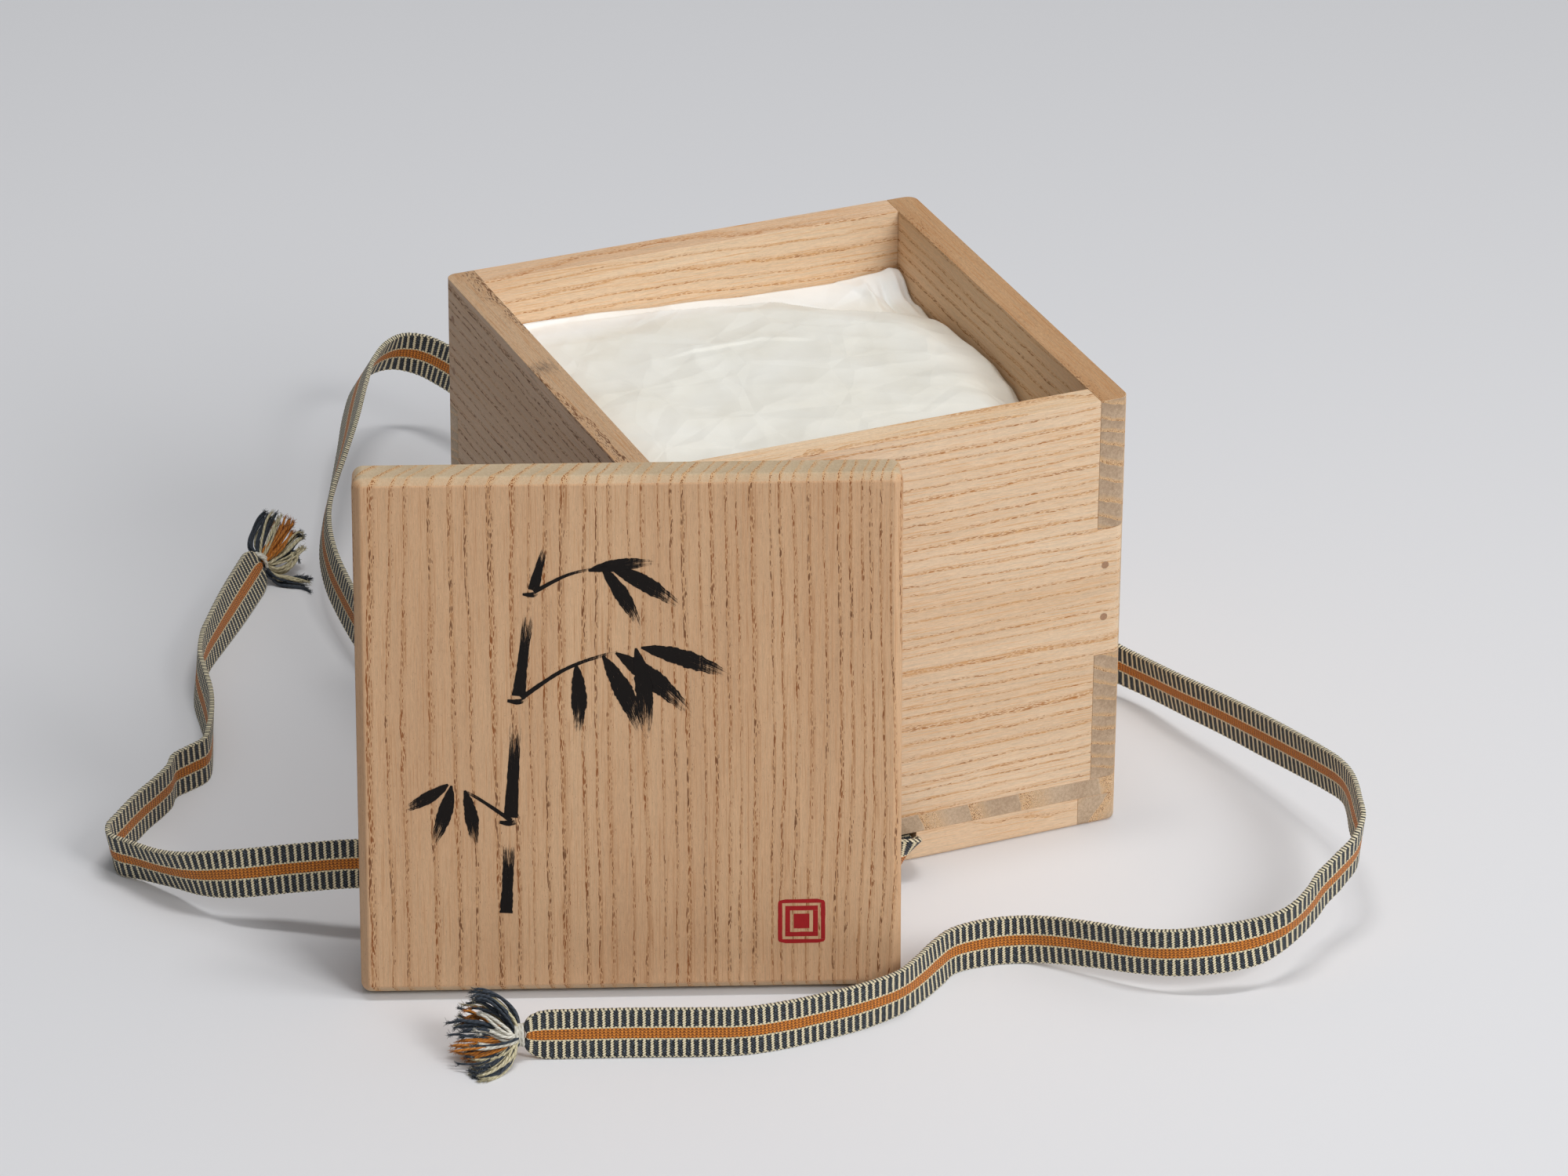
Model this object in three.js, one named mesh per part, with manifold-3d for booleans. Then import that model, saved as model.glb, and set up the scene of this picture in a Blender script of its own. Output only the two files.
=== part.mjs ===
// A square wooden storage box with its lid leaned against one corner and its flat woven ribbon
// laid out loose. The carcass is four finger-jointed boards pegged at the corners, on a base
// board and a frame of four feet. The ribbon passes under the base board in both directions
// through slots in the feet. Millimetres, +Z up; the surface that the box stands on is Z = 0.
import * as THREE from 'three';
import { mergeVertices } from 'three/addons/utils/BufferGeometryUtils.js';
import Module from 'manifold-3d';

const wasm = await Module();
wasm.setup();

// Driving dimensions of the box
const box_width = 165;
const box_depth = 165;
const wall_height = 133.8;
const wall_thickness = 9.8;
const base_thickness = 6.2;
const foot_height = 10;
const foot_width = 14;
const corner_radius = 3.5;
const rim_ease = 0.8;
const foot_ease = 1.4;
const slot_width = 24;
const slot_height = 4.5;

// Corner joint: equal fingers, each fixed by round pegs
const finger_share = 1 / 3;
const peg_height_shares = [0.3, 0.71];
const peg_inset_share = 0.7;
const peg_radius = 1.4;
const peg_bite = 11;
const peg_clearance = 0.2;

// Lid: a board with a frame of battens on its back
const lid_overhang = 0;
const lid_width = box_width + 2 * lid_overhang;
const lid_length = box_depth + 2 * lid_overhang;
const lid_thickness = 14.5;
const lid_corner_radius = 3.4;
const lid_face_ease = 2.2;
const lid_back_ease = 0.5;
const batten_height = 12;
const batten_width = 10;
const batten_ease = 1;
const batten_clearance = 0.6;
const batten_peg_radius = 1.25;
const batten_peg_bite = 7;
const batten_peg_shares = [0.25, 0.75];
const joint_gap = 0.3;

// How the lid leans on the front left corner of the box
const lid_yaw_degrees = -20.8;
const lid_lean_degrees = 8.6;
const lid_shift = -5.4;

// Wrapping paper that fills the box
const wrapping_side_gap = 1.6;
const wrapping_crown_drop = 14.5;
const wrapping_edge_drop = 31;
const wrapping_corner_radius = 24;
const wrapping_waist = 1.5;
const wrapping_rings = 7;
const wrapping_crown_rings = 7;

// Flat woven ribbon
const ribbon_width = 15;
const ribbon_thickness = 1.2;
const ribbon_edge = 0.35;
const ribbon_step = 9;
const upper_run_height = 8.7;
const lower_run_height = 7.1;
const front_run_offset = 3.5;
const tie_length = 5;
const tie_radius = 2.6;
const tassel_length = 17;
const tassel_radius = 12.5;
const tassel_flat_share = 0.62;

// Fineness of round stretches
const overrun = 1;
const corner_steps = 4;
const ease_steps = 3;
const peg_sides = 12;
const tassel_sides = 12;

const colours = {
  wood: 0xd9b78c,
  lid: 0xc69a70,
  peg: 0xb98d5e,
  ribbon: 0x5b5a52,
  thread: 0xd8cfb4,
  tassel: 0x56565a,
  paper: 0xefece0,
};

/** A finish of one colour, dull or less dull. */
function finish(color, roughness) {
  return new THREE.MeshStandardMaterial({ color, roughness, metalness: 0 });
}

const wood = finish(colours.wood, 0.7);
const lid_wood = finish(colours.lid, 0.7);
const peg_wood = finish(colours.peg, 0.75);
const woven = finish(colours.ribbon, 0.9);
const thread = finish(colours.thread, 0.9);
const yarn = finish(colours.tassel, 0.95);
const paper = finish(colours.paper, 0.85);

/** A geometry with only its positions left, its shared points merged. */
function welded(geometry) {
  geometry.deleteAttribute('normal');
  geometry.deleteAttribute('uv');
  return mergeVertices(geometry);
}

/** The solid of a closed geometry, ready to be joined or cut. */
function solid(geometry) {
  const merged = welded(geometry);
  const mesh = new wasm.Mesh({
    numProp: 3,
    vertProperties: new Float32Array(merged.attributes.position.array),
    triVerts: new Uint32Array(merged.index.array),
  });
  return new wasm.Manifold(mesh);
}

/** A solid turned back into a geometry. */
function shell(body) {
  const mesh = body.getMesh();
  const geometry = new THREE.BufferGeometry();
  geometry.setAttribute('position', new THREE.BufferAttribute(mesh.vertProperties, 3));
  geometry.setIndex(new THREE.BufferAttribute(mesh.triVerts, 1));
  geometry.computeVertexNormals();
  return geometry;
}

/** A box between two opposite corners, as a solid. */
function block(low, high) {
  const size = high.map((value, axis) => value - low[axis]);
  const geometry = new THREE.BoxGeometry(...size);
  geometry.translate(...high.map((value, axis) => (value + low[axis]) / 2));
  return solid(geometry);
}

/** A round rod along X, Y or Z between two points, as a geometry. */
function rod(start, end, radius) {
  const from = new THREE.Vector3(...start);
  const to = new THREE.Vector3(...end);
  const along = to.clone().sub(from);
  const geometry = new THREE.CylinderGeometry(radius, radius, along.length(), peg_sides);
  const turn = new THREE.Quaternion().setFromUnitVectors(new THREE.Vector3(0, 1, 0), along.normalize());
  geometry.applyQuaternion(turn);
  geometry.translate(...from.add(to).divideScalar(2).toArray());
  return geometry;
}

/** A closed geometry through rings of points, one above the other, with a fan over each end. */
function lofted(rings) {
  const count = rings[0].length;
  const last = rings.length - 1;
  const points = rings.flat();
  const middle = (ring) => {
    const sum = ring.reduce((total, point) => total.add(new THREE.Vector3(...point)), new THREE.Vector3());
    return sum.divideScalar(ring.length).toArray();
  };
  const bottom_centre = points.length;
  const top_centre = bottom_centre + 1;
  points.push(middle(rings[0]), middle(rings[last]));
  const triangles = [];
  for (let step = 0; step < count; step += 1) {
    const next = (step + 1) % count;
    for (let level = 0; level < last; level += 1) {
      const a = level * count + step;
      const b = level * count + next;
      triangles.push(a, b, b + count, a, b + count, a + count);
    }
    triangles.push(bottom_centre, next, step);
    triangles.push(top_centre, last * count + step, last * count + next);
  }
  const geometry = new THREE.BufferGeometry();
  geometry.setAttribute('position', new THREE.Float32BufferAttribute(points.flat(), 3));
  geometry.setIndex(triangles);
  geometry.computeVertexNormals();
  return geometry;
}

/** The outline of a rectangle with round corners at one height, drawn in by an inset. */
function rounded_ring(width, depth, radius, inset, height) {
  const ring = [];
  const round = Math.max(radius - inset, radius * 0.2);
  const reach_x = width / 2 - inset - round;
  const reach_y = depth / 2 - inset - round;
  const corners = [[1, 1], [-1, 1], [-1, -1], [1, -1]];
  corners.forEach(([side_x, side_y], quarter) => {
    for (let step = 0; step <= corner_steps; step += 1) {
      const angle = ((quarter + step / corner_steps) * Math.PI) / 2;
      const x = side_x * reach_x + round * Math.cos(angle);
      const y = side_y * reach_y + round * Math.sin(angle);
      ring.push([x, y, height]);
    }
  });
  return ring;
}

/** A slab with round corners in plan, its lower and upper edges rounded over. */
function slab({ width, depth, bottom, top, radius, bottom_ease, top_ease }) {
  const rings = [];
  for (let step = 0; step <= ease_steps; step += 1) {
    const angle = ((step / ease_steps) * Math.PI) / 2;
    const inset = bottom_ease * (1 - Math.sin(angle));
    rings.push(rounded_ring(width, depth, radius, inset, bottom + bottom_ease * (1 - Math.cos(angle))));
  }
  for (let step = 0; step <= ease_steps; step += 1) {
    const angle = ((step / ease_steps) * Math.PI) / 2;
    const inset = top_ease * (1 - Math.cos(angle));
    rings.push(rounded_ring(width, depth, radius, inset, top - top_ease * (1 - Math.sin(angle))));
  }
  return lofted(rings);
}

const assembly = new THREE.Group();
const cord_meshes = new Set();

/** Adds one named piece to a group. */
function place(group, name, geometry, material) {
  const mesh = new THREE.Mesh(geometry, material);
  mesh.name = name;
  group.add(mesh);
  return mesh;
}

// Heights and faces that the pieces share
const base_bottom = foot_height;
const wall_bottom = base_bottom + base_thickness;
const rim = wall_bottom + wall_height;
const finger_height = wall_height * finger_share;
const finger_bottoms = [0, 1, 2].map((index) => wall_bottom + index * finger_height);
const half_width = box_width / 2;
const half_depth = box_depth / 2;
const peg_inset = wall_thickness * peg_inset_share;

const carcass_outline = solid(slab({
  width: box_width,
  depth: box_depth,
  bottom: 0,
  top: rim,
  radius: corner_radius,
  bottom_ease: foot_ease,
  top_ease: rim_ease,
}));

/** Every peg of the corner joints: its name, its axis ends, and the finger that it holds. */
function corner_pegs() {
  const pegs = [];
  for (const side_x of [-1, 1]) {
    for (const side_y of [-1, 1]) {
      const corner = `${side_y < 0 ? 'front' : 'back'}_${side_x < 0 ? 'left' : 'right'}`;
      finger_bottoms.forEach((bottom, finger) => {
        peg_height_shares.forEach((share, index) => {
          const z = bottom + share * finger_height;
          const inner_x = side_x * (half_width - wall_thickness - peg_bite);
          const inner_y = side_y * (half_depth - wall_thickness - peg_bite);
          const along_y = finger === 1;
          const near = along_y
            ? [side_x * (half_width - peg_inset), side_y * half_depth, z]
            : [side_x * half_width, side_y * (half_depth - peg_inset), z];
          const far = along_y ? [near[0], inner_y, z] : [inner_x, near[1], z];
          const row = ['low', 'middle', 'high'][finger];
          pegs.push({ name: `peg_${corner}_${row}_${index + 1}`, near, far });
        });
      });
    }
  }
  return pegs;
}

const pegs = corner_pegs();

/** A board with every peg hole that reaches it drilled out. */
function drilled(board) {
  let body = board;
  for (const { near, far } of pegs) {
    const start = new THREE.Vector3(...near);
    const end = new THREE.Vector3(...far);
    const along = end.clone().sub(start).normalize();
    const mouth = start.clone().addScaledVector(along, -overrun);
    const floor = end.clone().addScaledVector(along, joint_gap);
    body = body.subtract(solid(rod(mouth.toArray(), floor.toArray(), peg_radius + peg_clearance)));
  }
  return body;
}

/** The left or right board: full depth, with its middle finger cut away at both ends. */
function side_board(side) {
  const outer = side * half_width;
  const inner = side * (half_width - wall_thickness);
  const low_x = Math.min(outer, inner);
  const high_x = Math.max(outer, inner);
  let body = block([low_x, -half_depth, wall_bottom], [high_x, half_depth, rim]);
  for (const end of [-1, 1]) {
    const near = end * (half_depth - wall_thickness);
    const far = end * (half_depth + overrun);
    body = body.subtract(block(
      [low_x - overrun, Math.min(near, far), finger_bottoms[1]],
      [high_x + overrun, Math.max(near, far), finger_bottoms[2]],
    ));
  }
  return drilled(body.intersect(carcass_outline));
}

/** The front or back board: full width, with its low and high fingers cut away at both ends. */
function end_board(side) {
  const outer = side * half_depth;
  const inner = side * (half_depth - wall_thickness);
  const low_y = Math.min(outer, inner);
  const high_y = Math.max(outer, inner);
  let body = block([-half_width, low_y, wall_bottom], [half_width, high_y, rim]);
  for (const end of [-1, 1]) {
    const near = end * (half_width - wall_thickness);
    const far = end * (half_width + overrun);
    const low_x = Math.min(near, far);
    const high_x = Math.max(near, far);
    body = body.subtract(block(
      [low_x, low_y - overrun, wall_bottom - overrun],
      [high_x, high_y + overrun, finger_bottoms[1]],
    ));
    body = body.subtract(block(
      [low_x, low_y - overrun, finger_bottoms[2]],
      [high_x, high_y + overrun, rim + overrun],
    ));
  }
  return drilled(body.intersect(carcass_outline));
}

place(assembly, 'left_board', shell(side_board(-1)), wood);
place(assembly, 'right_board', shell(side_board(1)), wood);
place(assembly, 'front_board', shell(end_board(-1)), wood);
place(assembly, 'back_board', shell(end_board(1)), wood);

const base_block = block([-half_width, -half_depth, base_bottom], [half_width, half_depth, wall_bottom]);
place(assembly, 'base_board', shell(base_block.intersect(carcass_outline)), wood);

/** A foot rail with the ribbon's slot cut in its upper face. */
function foot(low, high) {
  const middle_x = (low[0] + high[0]) / 2;
  const middle_y = (low[1] + high[1]) / 2;
  const runs_deep = high[1] - low[1] > high[0] - low[0];
  const half_slot = slot_width / 2;
  const slot_low = runs_deep
    ? [low[0] - overrun, middle_y - half_slot, foot_height - slot_height]
    : [middle_x - half_slot, low[1] - overrun, foot_height - slot_height];
  const slot_high = runs_deep
    ? [high[0] + overrun, middle_y + half_slot, foot_height + overrun]
    : [middle_x + half_slot, high[1] + overrun, foot_height + overrun];
  return block(low, high).intersect(carcass_outline).subtract(block(slot_low, slot_high));
}

const inner_foot_x = half_width - foot_width;
const inner_foot_y = half_depth - foot_width;
const feet = {
  left_foot: foot([-half_width, -half_depth, 0], [-inner_foot_x, half_depth, foot_height]),
  right_foot: foot([inner_foot_x, -half_depth, 0], [half_width, half_depth, foot_height]),
  front_foot: foot([-inner_foot_x, -half_depth, 0], [inner_foot_x, -inner_foot_y, foot_height]),
  back_foot: foot([-inner_foot_x, inner_foot_y, 0], [inner_foot_x, half_depth, foot_height]),
};
for (const [name, body] of Object.entries(feet)) {
  place(assembly, name, shell(body), wood);
}

for (const { name, near, far } of pegs) {
  const body = solid(rod(near, far, peg_radius)).intersect(carcass_outline);
  place(assembly, name, shell(body), peg_wood);
}

// Lid, drawn flat with its face up, then turned to lean on the box
const lid_yaw = THREE.MathUtils.degToRad(lid_yaw_degrees);
const lid_lean = THREE.MathUtils.degToRad(lid_lean_degrees);
const lid = new THREE.Group();
const lid_tilt = new THREE.Group();
lid.add(lid_tilt);
lid_tilt.rotation.x = Math.PI / 2 - lid_lean;
lid.rotation.z = lid_yaw;

// The battens stand joint_gap behind the board, and their frame fits inside the walls
const batten_top = -joint_gap;
const batten_bottom = batten_top - batten_height;
const frame_half_x = half_width - wall_thickness - batten_clearance;
const frame_half_y = half_depth - wall_thickness - batten_clearance;
const lid_middle_y = lid_length / 2;
const rail_inner = frame_half_y - batten_width;
const short_half = rail_inner - joint_gap;

const toward_viewer = new THREE.Vector2(Math.sin(lid_yaw), -Math.cos(lid_yaw));
const along_lid = new THREE.Vector2(Math.cos(lid_yaw), Math.sin(lid_yaw));
const lid_foot = new THREE.Vector2(corner_radius - half_width, corner_radius - half_depth);

// The box's corner meets the high batten, or the board itself where that batten is above the rim
const height_up_lid = (distance) => distance * Math.cos(lid_lean) + batten_bottom * Math.sin(lid_lean);
const meets_batten = height_up_lid(lid_middle_y + rail_inner) < rim;
const meeting_height = meets_batten ? Math.min(rim, height_up_lid(lid_middle_y + frame_half_y)) : rim;
const meeting_depth = meets_batten ? -batten_bottom / Math.cos(lid_lean) : 0;
const lean_reach = meeting_height * Math.tan(lid_lean) + meeting_depth + joint_gap;
lid_foot.addScaledVector(toward_viewer, corner_radius + lean_reach);
lid_foot.addScaledVector(along_lid, lid_shift);
lid.position.set(lid_foot.x, lid_foot.y, 0);

/** A batten between two corners of its plan, with eased edges. */
function batten(low_x, low_y, high_x, high_y) {
  const geometry = slab({
    width: high_x - low_x,
    depth: high_y - low_y,
    bottom: batten_bottom,
    top: batten_top,
    radius: batten_ease,
    bottom_ease: batten_ease,
    top_ease: 0,
  });
  geometry.translate((low_x + high_x) / 2, (low_y + high_y) / 2, 0);
  return solid(geometry);
}

const board_geometry = slab({
  width: lid_width,
  depth: lid_length,
  bottom: 0,
  top: lid_thickness,
  radius: lid_corner_radius,
  bottom_ease: lid_back_ease,
  top_ease: lid_face_ease,
});
board_geometry.translate(0, lid_middle_y, 0);
let lid_board = solid(board_geometry);

const battens = {
  lid_batten_low: [-frame_half_x, -frame_half_y, frame_half_x, -rail_inner],
  lid_batten_high: [-frame_half_x, rail_inner, frame_half_x, frame_half_y],
  lid_batten_left: [-frame_half_x, -short_half, batten_width - frame_half_x, short_half],
  lid_batten_right: [frame_half_x - batten_width, -short_half, frame_half_x, short_half],
};
for (const [name, [low_x, low_y, high_x, high_y]] of Object.entries(battens)) {
  let body = batten(low_x, low_y + lid_middle_y, high_x, high_y + lid_middle_y);
  const runs_across = high_x - low_x > high_y - low_y;
  batten_peg_shares.forEach((share, index) => {
    const x = runs_across ? low_x + share * (high_x - low_x) : (low_x + high_x) / 2;
    const across_y = runs_across ? (low_y + high_y) / 2 : low_y + share * (high_y - low_y);
    const y = across_y + lid_middle_y;
    const peg = rod([x, y, batten_bottom], [x, y, batten_peg_bite], batten_peg_radius);
    const hole = solid(rod(
      [x, y, batten_bottom - overrun],
      [x, y, batten_peg_bite + joint_gap],
      batten_peg_radius + joint_gap,
    ));
    body = body.subtract(hole);
    lid_board = lid_board.subtract(hole);
    place(lid_tilt, `${name}_peg_${index + 1}`, welded(peg), peg_wood);
  });
  place(lid_tilt, name, shell(body), lid_wood);
}
place(lid_tilt, 'lid_board', shell(lid_board), lid_wood);
assembly.add(lid);

/** The paper wrapping: drawn-in sides and a crowned top, one soft block inside the walls. */
function wrapping_shape() {
  const width = box_width - 2 * (wall_thickness + wrapping_side_gap);
  const depth = box_depth - 2 * (wall_thickness + wrapping_side_gap);
  const low = wall_bottom + joint_gap;
  const shoulder = rim - wrapping_edge_drop;
  const crown = wrapping_edge_drop - wrapping_crown_drop;
  const rings = [];
  for (let step = 0; step < wrapping_rings; step += 1) {
    const share = step / (wrapping_rings - 1);
    const inset = wrapping_waist * Math.sin(share * Math.PI);
    rings.push(rounded_ring(width, depth, wrapping_corner_radius, inset, low + share * (shoulder - low)));
  }
  for (let step = 1; step < wrapping_crown_rings; step += 1) {
    const angle = ((step / wrapping_crown_rings) * Math.PI) / 2;
    const shrink = Math.cos(angle) ** 0.8;
    const height = shoulder + crown * Math.sin(angle);
    const ring = rounded_ring(width, depth, wrapping_corner_radius, 0, height);
    rings.push(ring.map(([x, y, z]) => [x * shrink, y * shrink, z]));
  }
  return lofted(rings);
}
place(assembly, 'wrapping', wrapping_shape(), paper);

/** A smooth route whose band is turned by hand: each point has the direction of the band's upper edge. */
class BandPath extends THREE.CatmullRomCurve3 {
  constructor(route) {
    super(route.map(([x, y, z]) => new THREE.Vector3(x, y, z)), false, 'centripetal');
    const edges = route.map(([, , , x, y, z]) => new THREE.Vector3(x, y, z).normalize());
    this.edge_curve = new THREE.CatmullRomCurve3(edges, false, 'catmullrom');
  }

  computeFrenetFrames(segments) {
    const tangents = [];
    const normals = [];
    const binormals = [];
    for (let step = 0; step <= segments; step += 1) {
      const share = step / segments;
      const tangent = this.getTangentAt(share);
      const edge = this.edge_curve.getPoint(this.getUtoTmapping(share));
      edge.addScaledVector(tangent, -edge.dot(tangent)).normalize();
      tangents.push(tangent);
      normals.push(edge);
      binormals.push(new THREE.Vector3().crossVectors(tangent, edge));
    }
    return { tangents, normals, binormals };
  }
}

/** The ribbon's section: eight sides, its two edges a little thinner. */
function band_section() {
  const half = ribbon_width / 2;
  const thick = ribbon_thickness / 2;
  const shape = new THREE.Shape();
  const outline = [
    [half, -thick + ribbon_edge], [half, thick - ribbon_edge],
    [half - ribbon_edge, thick], [ribbon_edge - half, thick],
    [-half, thick - ribbon_edge], [-half, -thick + ribbon_edge],
    [ribbon_edge - half, -thick], [half - ribbon_edge, -thick],
  ];
  outline.forEach(([x, y], index) => {
    if (index === 0) {
      shape.moveTo(x, y);
    } else {
      shape.lineTo(x, y);
    }
  });
  return shape;
}

/** One stretch of ribbon along a route. */
function band(route) {
  const path = new BandPath(route);
  const steps = Math.max(2, Math.round(path.getLength() / ribbon_step));
  const geometry = new THREE.ExtrudeGeometry(band_section(), { extrudePath: path, steps });
  return geometry;
}

// Free stretches, point by point: X, Y, Z of the middle, then the direction of the upper edge
const front_end_route = [
  [3.5, -82.8, 7.1, 1, 0, 0],
  [3.5, -85.6, 7, 0.95, 0.1, 0.3],
  [1.4, -89, 7.2, 0.75, 0.15, 0.65],
  [-4, -92.6, 7.8, 0.35, 0.25, 0.9],
  [-16, -95, 9.5, 0.1, 0.3, 0.95],
  [-35, -96.5, 12, 0.05, 0.3, 0.95],
  [-58, -96, 15, 0.05, 0.3, 0.95],
  [-80, -93, 18, 0.08, 0.32, 0.95],
  [-102, -86, 20.5, 0.12, 0.35, 0.93],
  [-125, -76.5, 22.5, 0.15, 0.4, 0.9],
  [-147, -66, 24, 0.18, 0.43, 0.88],
  [-165.7, -56.8, 23.7, 0.19, 0.45, 0.87],
  [-181.8, -46.2, 20.1, 0.19, 0.42, 0.88],
  [-198.6, -36.2, 16.5, 0.1, 0.28, 0.95],
  [-209, -25, 12.9, -0.25, 0.12, 0.95],
  [-214.5, -15, 10.6, -0.36, 0, 0.93],
  [-220.5, -3, 8.7, -0.3, 0.02, 0.95],
  [-224.8, 4.5, 7.9, -0.2, 0, 0.98],
  [-223.4, 11.8, 7.5, -0.2, -0.1, 0.98],
  [-217.3, 18.8, 7.6, -0.28, -0.2, 0.94],
  [-207.8, 28.6, 7.5, -0.24, -0.18, 0.95],
  [-199.8, 35.5, 7.6, -0.1, -0.06, 0.99],
  [-195, 40.4, 7.6, 0, 0.03, 1],
  [-191.3, 46.2, 7.6, 0.03, 0.06, 1],
  [-185.2, 49.4, 7.6, 0.03, 0.1, 1],
  [-178.6, 53, 7.6, -0.02, 0.05, 1],
  [-173.4, 63, 7.6, -0.02, -0.06, 1],
  [-169.2, 75.2, 7.6, 0.12, 0, 0.99],
  [-166.3, 87.5, 7.5, 0.2, -0.06, 0.97],
  [-163.8, 100.5, 7.6, 0.17, -0.16, 0.97],
  [-160.5, 112, 7.7, 0.01, -0.22, 0.97],
  [-154.4, 123.6, 7.7, -0.24, -0.26, 0.94],
  [-145.2, 137.2, 7.5, -0.42, -0.27, 0.86],
  [-134, 153.1, 7.2, -0.54, -0.2, 0.82],
  [-122.4, 169.3, 7.1, -0.6, -0.22, 0.77],
  [-116.6, 177.3, 7.1, -0.6, -0.22, 0.77],
];

const loop_route = [
  [0, 82.8, 7.1, 1, 0, 0],
  [0, 87.6, 7.4, 0.95, 0, 0.3],
  [1.5, 96, 8.6, 0.8, 0, 0.6],
  [2, 108, 10.5, 0.55, 0, 0.83],
  [1.5, 125, 13.2, 0.35, 0.02, 0.93],
  [-0.5, 150, 17.3, 0.2, 0.04, 0.97],
  [-4, 180, 21.5, 0.18, 0.05, 0.97],
  [-8.5, 210, 25.2, 0.2, 0.06, 0.97],
  [-13.5, 237, 27.6, 0.24, 0.07, 0.96],
  [-18.8, 256, 29.4, 0.27, 0.06, 0.96],
  [-24.6, 265.4, 30.9, 0.24, -0.06, 0.95],
  [-32, 268.6, 32, 0.12, -0.25, 0.94],
  [-40, 265.6, 32.5, 0.1, -0.38, 0.9],
  [-49.7, 255, 32.1, 0.17, -0.27, 0.95],
  [-58.6, 239.4, 30.9, 0.2, -0.26, 0.95],
  [-69, 218.4, 29, 0.2, -0.17, 0.96],
  [-80.6, 196.5, 26.3, 0.18, -0.05, 0.98],
  [-90.3, 179.2, 23.5, 0.14, 0.02, 0.98],
  [-97.6, 162.6, 20.7, 0.13, 0.02, 0.99],
  [-102, 145, 18.4, 0.15, -0.05, 0.98],
  [-104, 127, 16.4, 0.18, -0.1, 0.97],
  [-105.3, 104, 14.3, 0.15, -0.08, 0.98],
  [-106, 80, 12.3, 0.1, -0.05, 0.99],
  [-106.2, 55, 10.6, 0.03, -0.05, 0.99],
  [-105.6, 32, 9.4, -0.03, -0.1, 0.99],
  [-103.2, 15, 8.8, -0.12, -0.3, 0.94],
  [-97, 3.6, 8.5, -0.32, -0.7, 0.64],
  [-88.4, 0, 8.6, -0.12, -0.95, 0.28],
  [-82.8, 0, 8.7, 0, -1, 0],
];

const side_end_route = [
  [82.8, 0, 8.7, 0, 1, 0],
  [88.4, 0, 8.6, 0, 0.95, 0.3],
  [96.5, -0.6, 9.2, -0.1, 0.75, 0.65],
  [107, -3.6, 10.7, -0.16, 0.4, 0.9],
  [116, -8.8, 12.1, -0.19, 0.15, 0.97],
  [121.4, -20, 13.4, -0.19, 0.1, 0.98],
  [125.6, -40.4, 15.3, -0.18, 0.15, 0.97],
  [130.2, -60, 17.1, -0.15, 0.22, 0.96],
  [133.8, -79.6, 19.1, -0.1, 0.28, 0.95],
  [136.4, -99, 21.6, -0.1, 0.26, 0.96],
  [137.8, -116.6, 24.3, -0.11, 0.18, 0.98],
  [137.9, -129.2, 26.2, -0.11, 0.02, 0.99],
  [135.6, -139.6, 27.3, -0.06, -0.24, 0.97],
  [130.9, -152.7, 27.6, -0.05, -0.4, 0.91],
  [126.8, -163.6, 27.1, -0.12, -0.44, 0.88],
  [121, -171.4, 25.6, -0.32, -0.4, 0.85],
  [112.6, -177, 23.5, -0.4, -0.33, 0.85],
  [104.6, -181.6, 21.5, -0.38, -0.31, 0.87],
  [98, -186.7, 19.8, -0.33, -0.3, 0.9],
  [91.4, -190.8, 18.4, -0.26, -0.24, 0.93],
  [85, -193, 17, -0.2, -0.12, 0.97],
  [76, -193.6, 15.5, 0, 0.15, 0.98],
  [64.4, -191.6, 14.4, 0.08, 0.25, 0.96],
  [52.4, -187.8, 13.7, 0.02, 0.12, 0.99],
  [42.2, -180.9, 12.9, -0.02, 0.03, 1],
  [33.5, -171, 11.5, 0, 0.05, 1],
  [25.1, -160.9, 9.6, 0.03, 0.1, 0.99],
  [17, -153.4, 7.9, 0.05, 0.14, 0.99],
  [5.5, -150.2, 7.6, 0.05, 0.14, 0.99],
  [-6.2, -151, 7.6, -0.03, 0.08, 1],
  [-13.4, -155.6, 7.6, -0.12, 0.1, 0.98],
  [-22.6, -162.4, 7.6, -0.15, 0.02, 0.98],
  [-31.6, -167.6, 7.6, -0.07, -0.02, 1],
  [-45, -170.8, 7.6, 0.02, 0.06, 1],
  [-58.6, -171.8, 7.6, 0.03, 0.08, 1],
  [-71.5, -171.9, 7.6, 0.05, 0.12, 0.99],
  [-84, -170.4, 7.6, 0.06, 0.14, 0.99],
  [-95.4, -166.4, 7.6, 0.09, 0.2, 0.98],
  [-116.8, -157.9, 7.6, 0.1, 0.22, 0.97],
  [-145.4, -147.5, 7.6, 0.08, 0.2, 0.98],
];

/** A band that lies under the base board from one slot to the opposite one. */
function under_run(start, end, edge) {
  return band([start, end].map((point) => [...point, ...edge]));
}

/** Keeps a cord's piece apart from the pieces that the base of the object is measured on. */
function place_cord(name, geometry, material) {
  cord_meshes.add(place(assembly, name, geometry, material));
}

const run_half_x = half_width - joint_gap;
const run_half_y = half_depth - joint_gap;
place(assembly, 'ribbon_under_front_back', under_run(
  [front_run_offset, -run_half_y, lower_run_height],
  [0, run_half_y, lower_run_height],
  [1, 0, 0],
), woven);
place(assembly, 'ribbon_under_left_right', under_run(
  [-run_half_x, 0, upper_run_height],
  [run_half_x, 0, upper_run_height],
  [0, -1, 0],
), woven);
place_cord('ribbon_front_end', band(front_end_route), woven);
place_cord('ribbon_side_end', band(side_end_route), woven);
place_cord('ribbon_loop', band(loop_route), woven);

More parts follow.
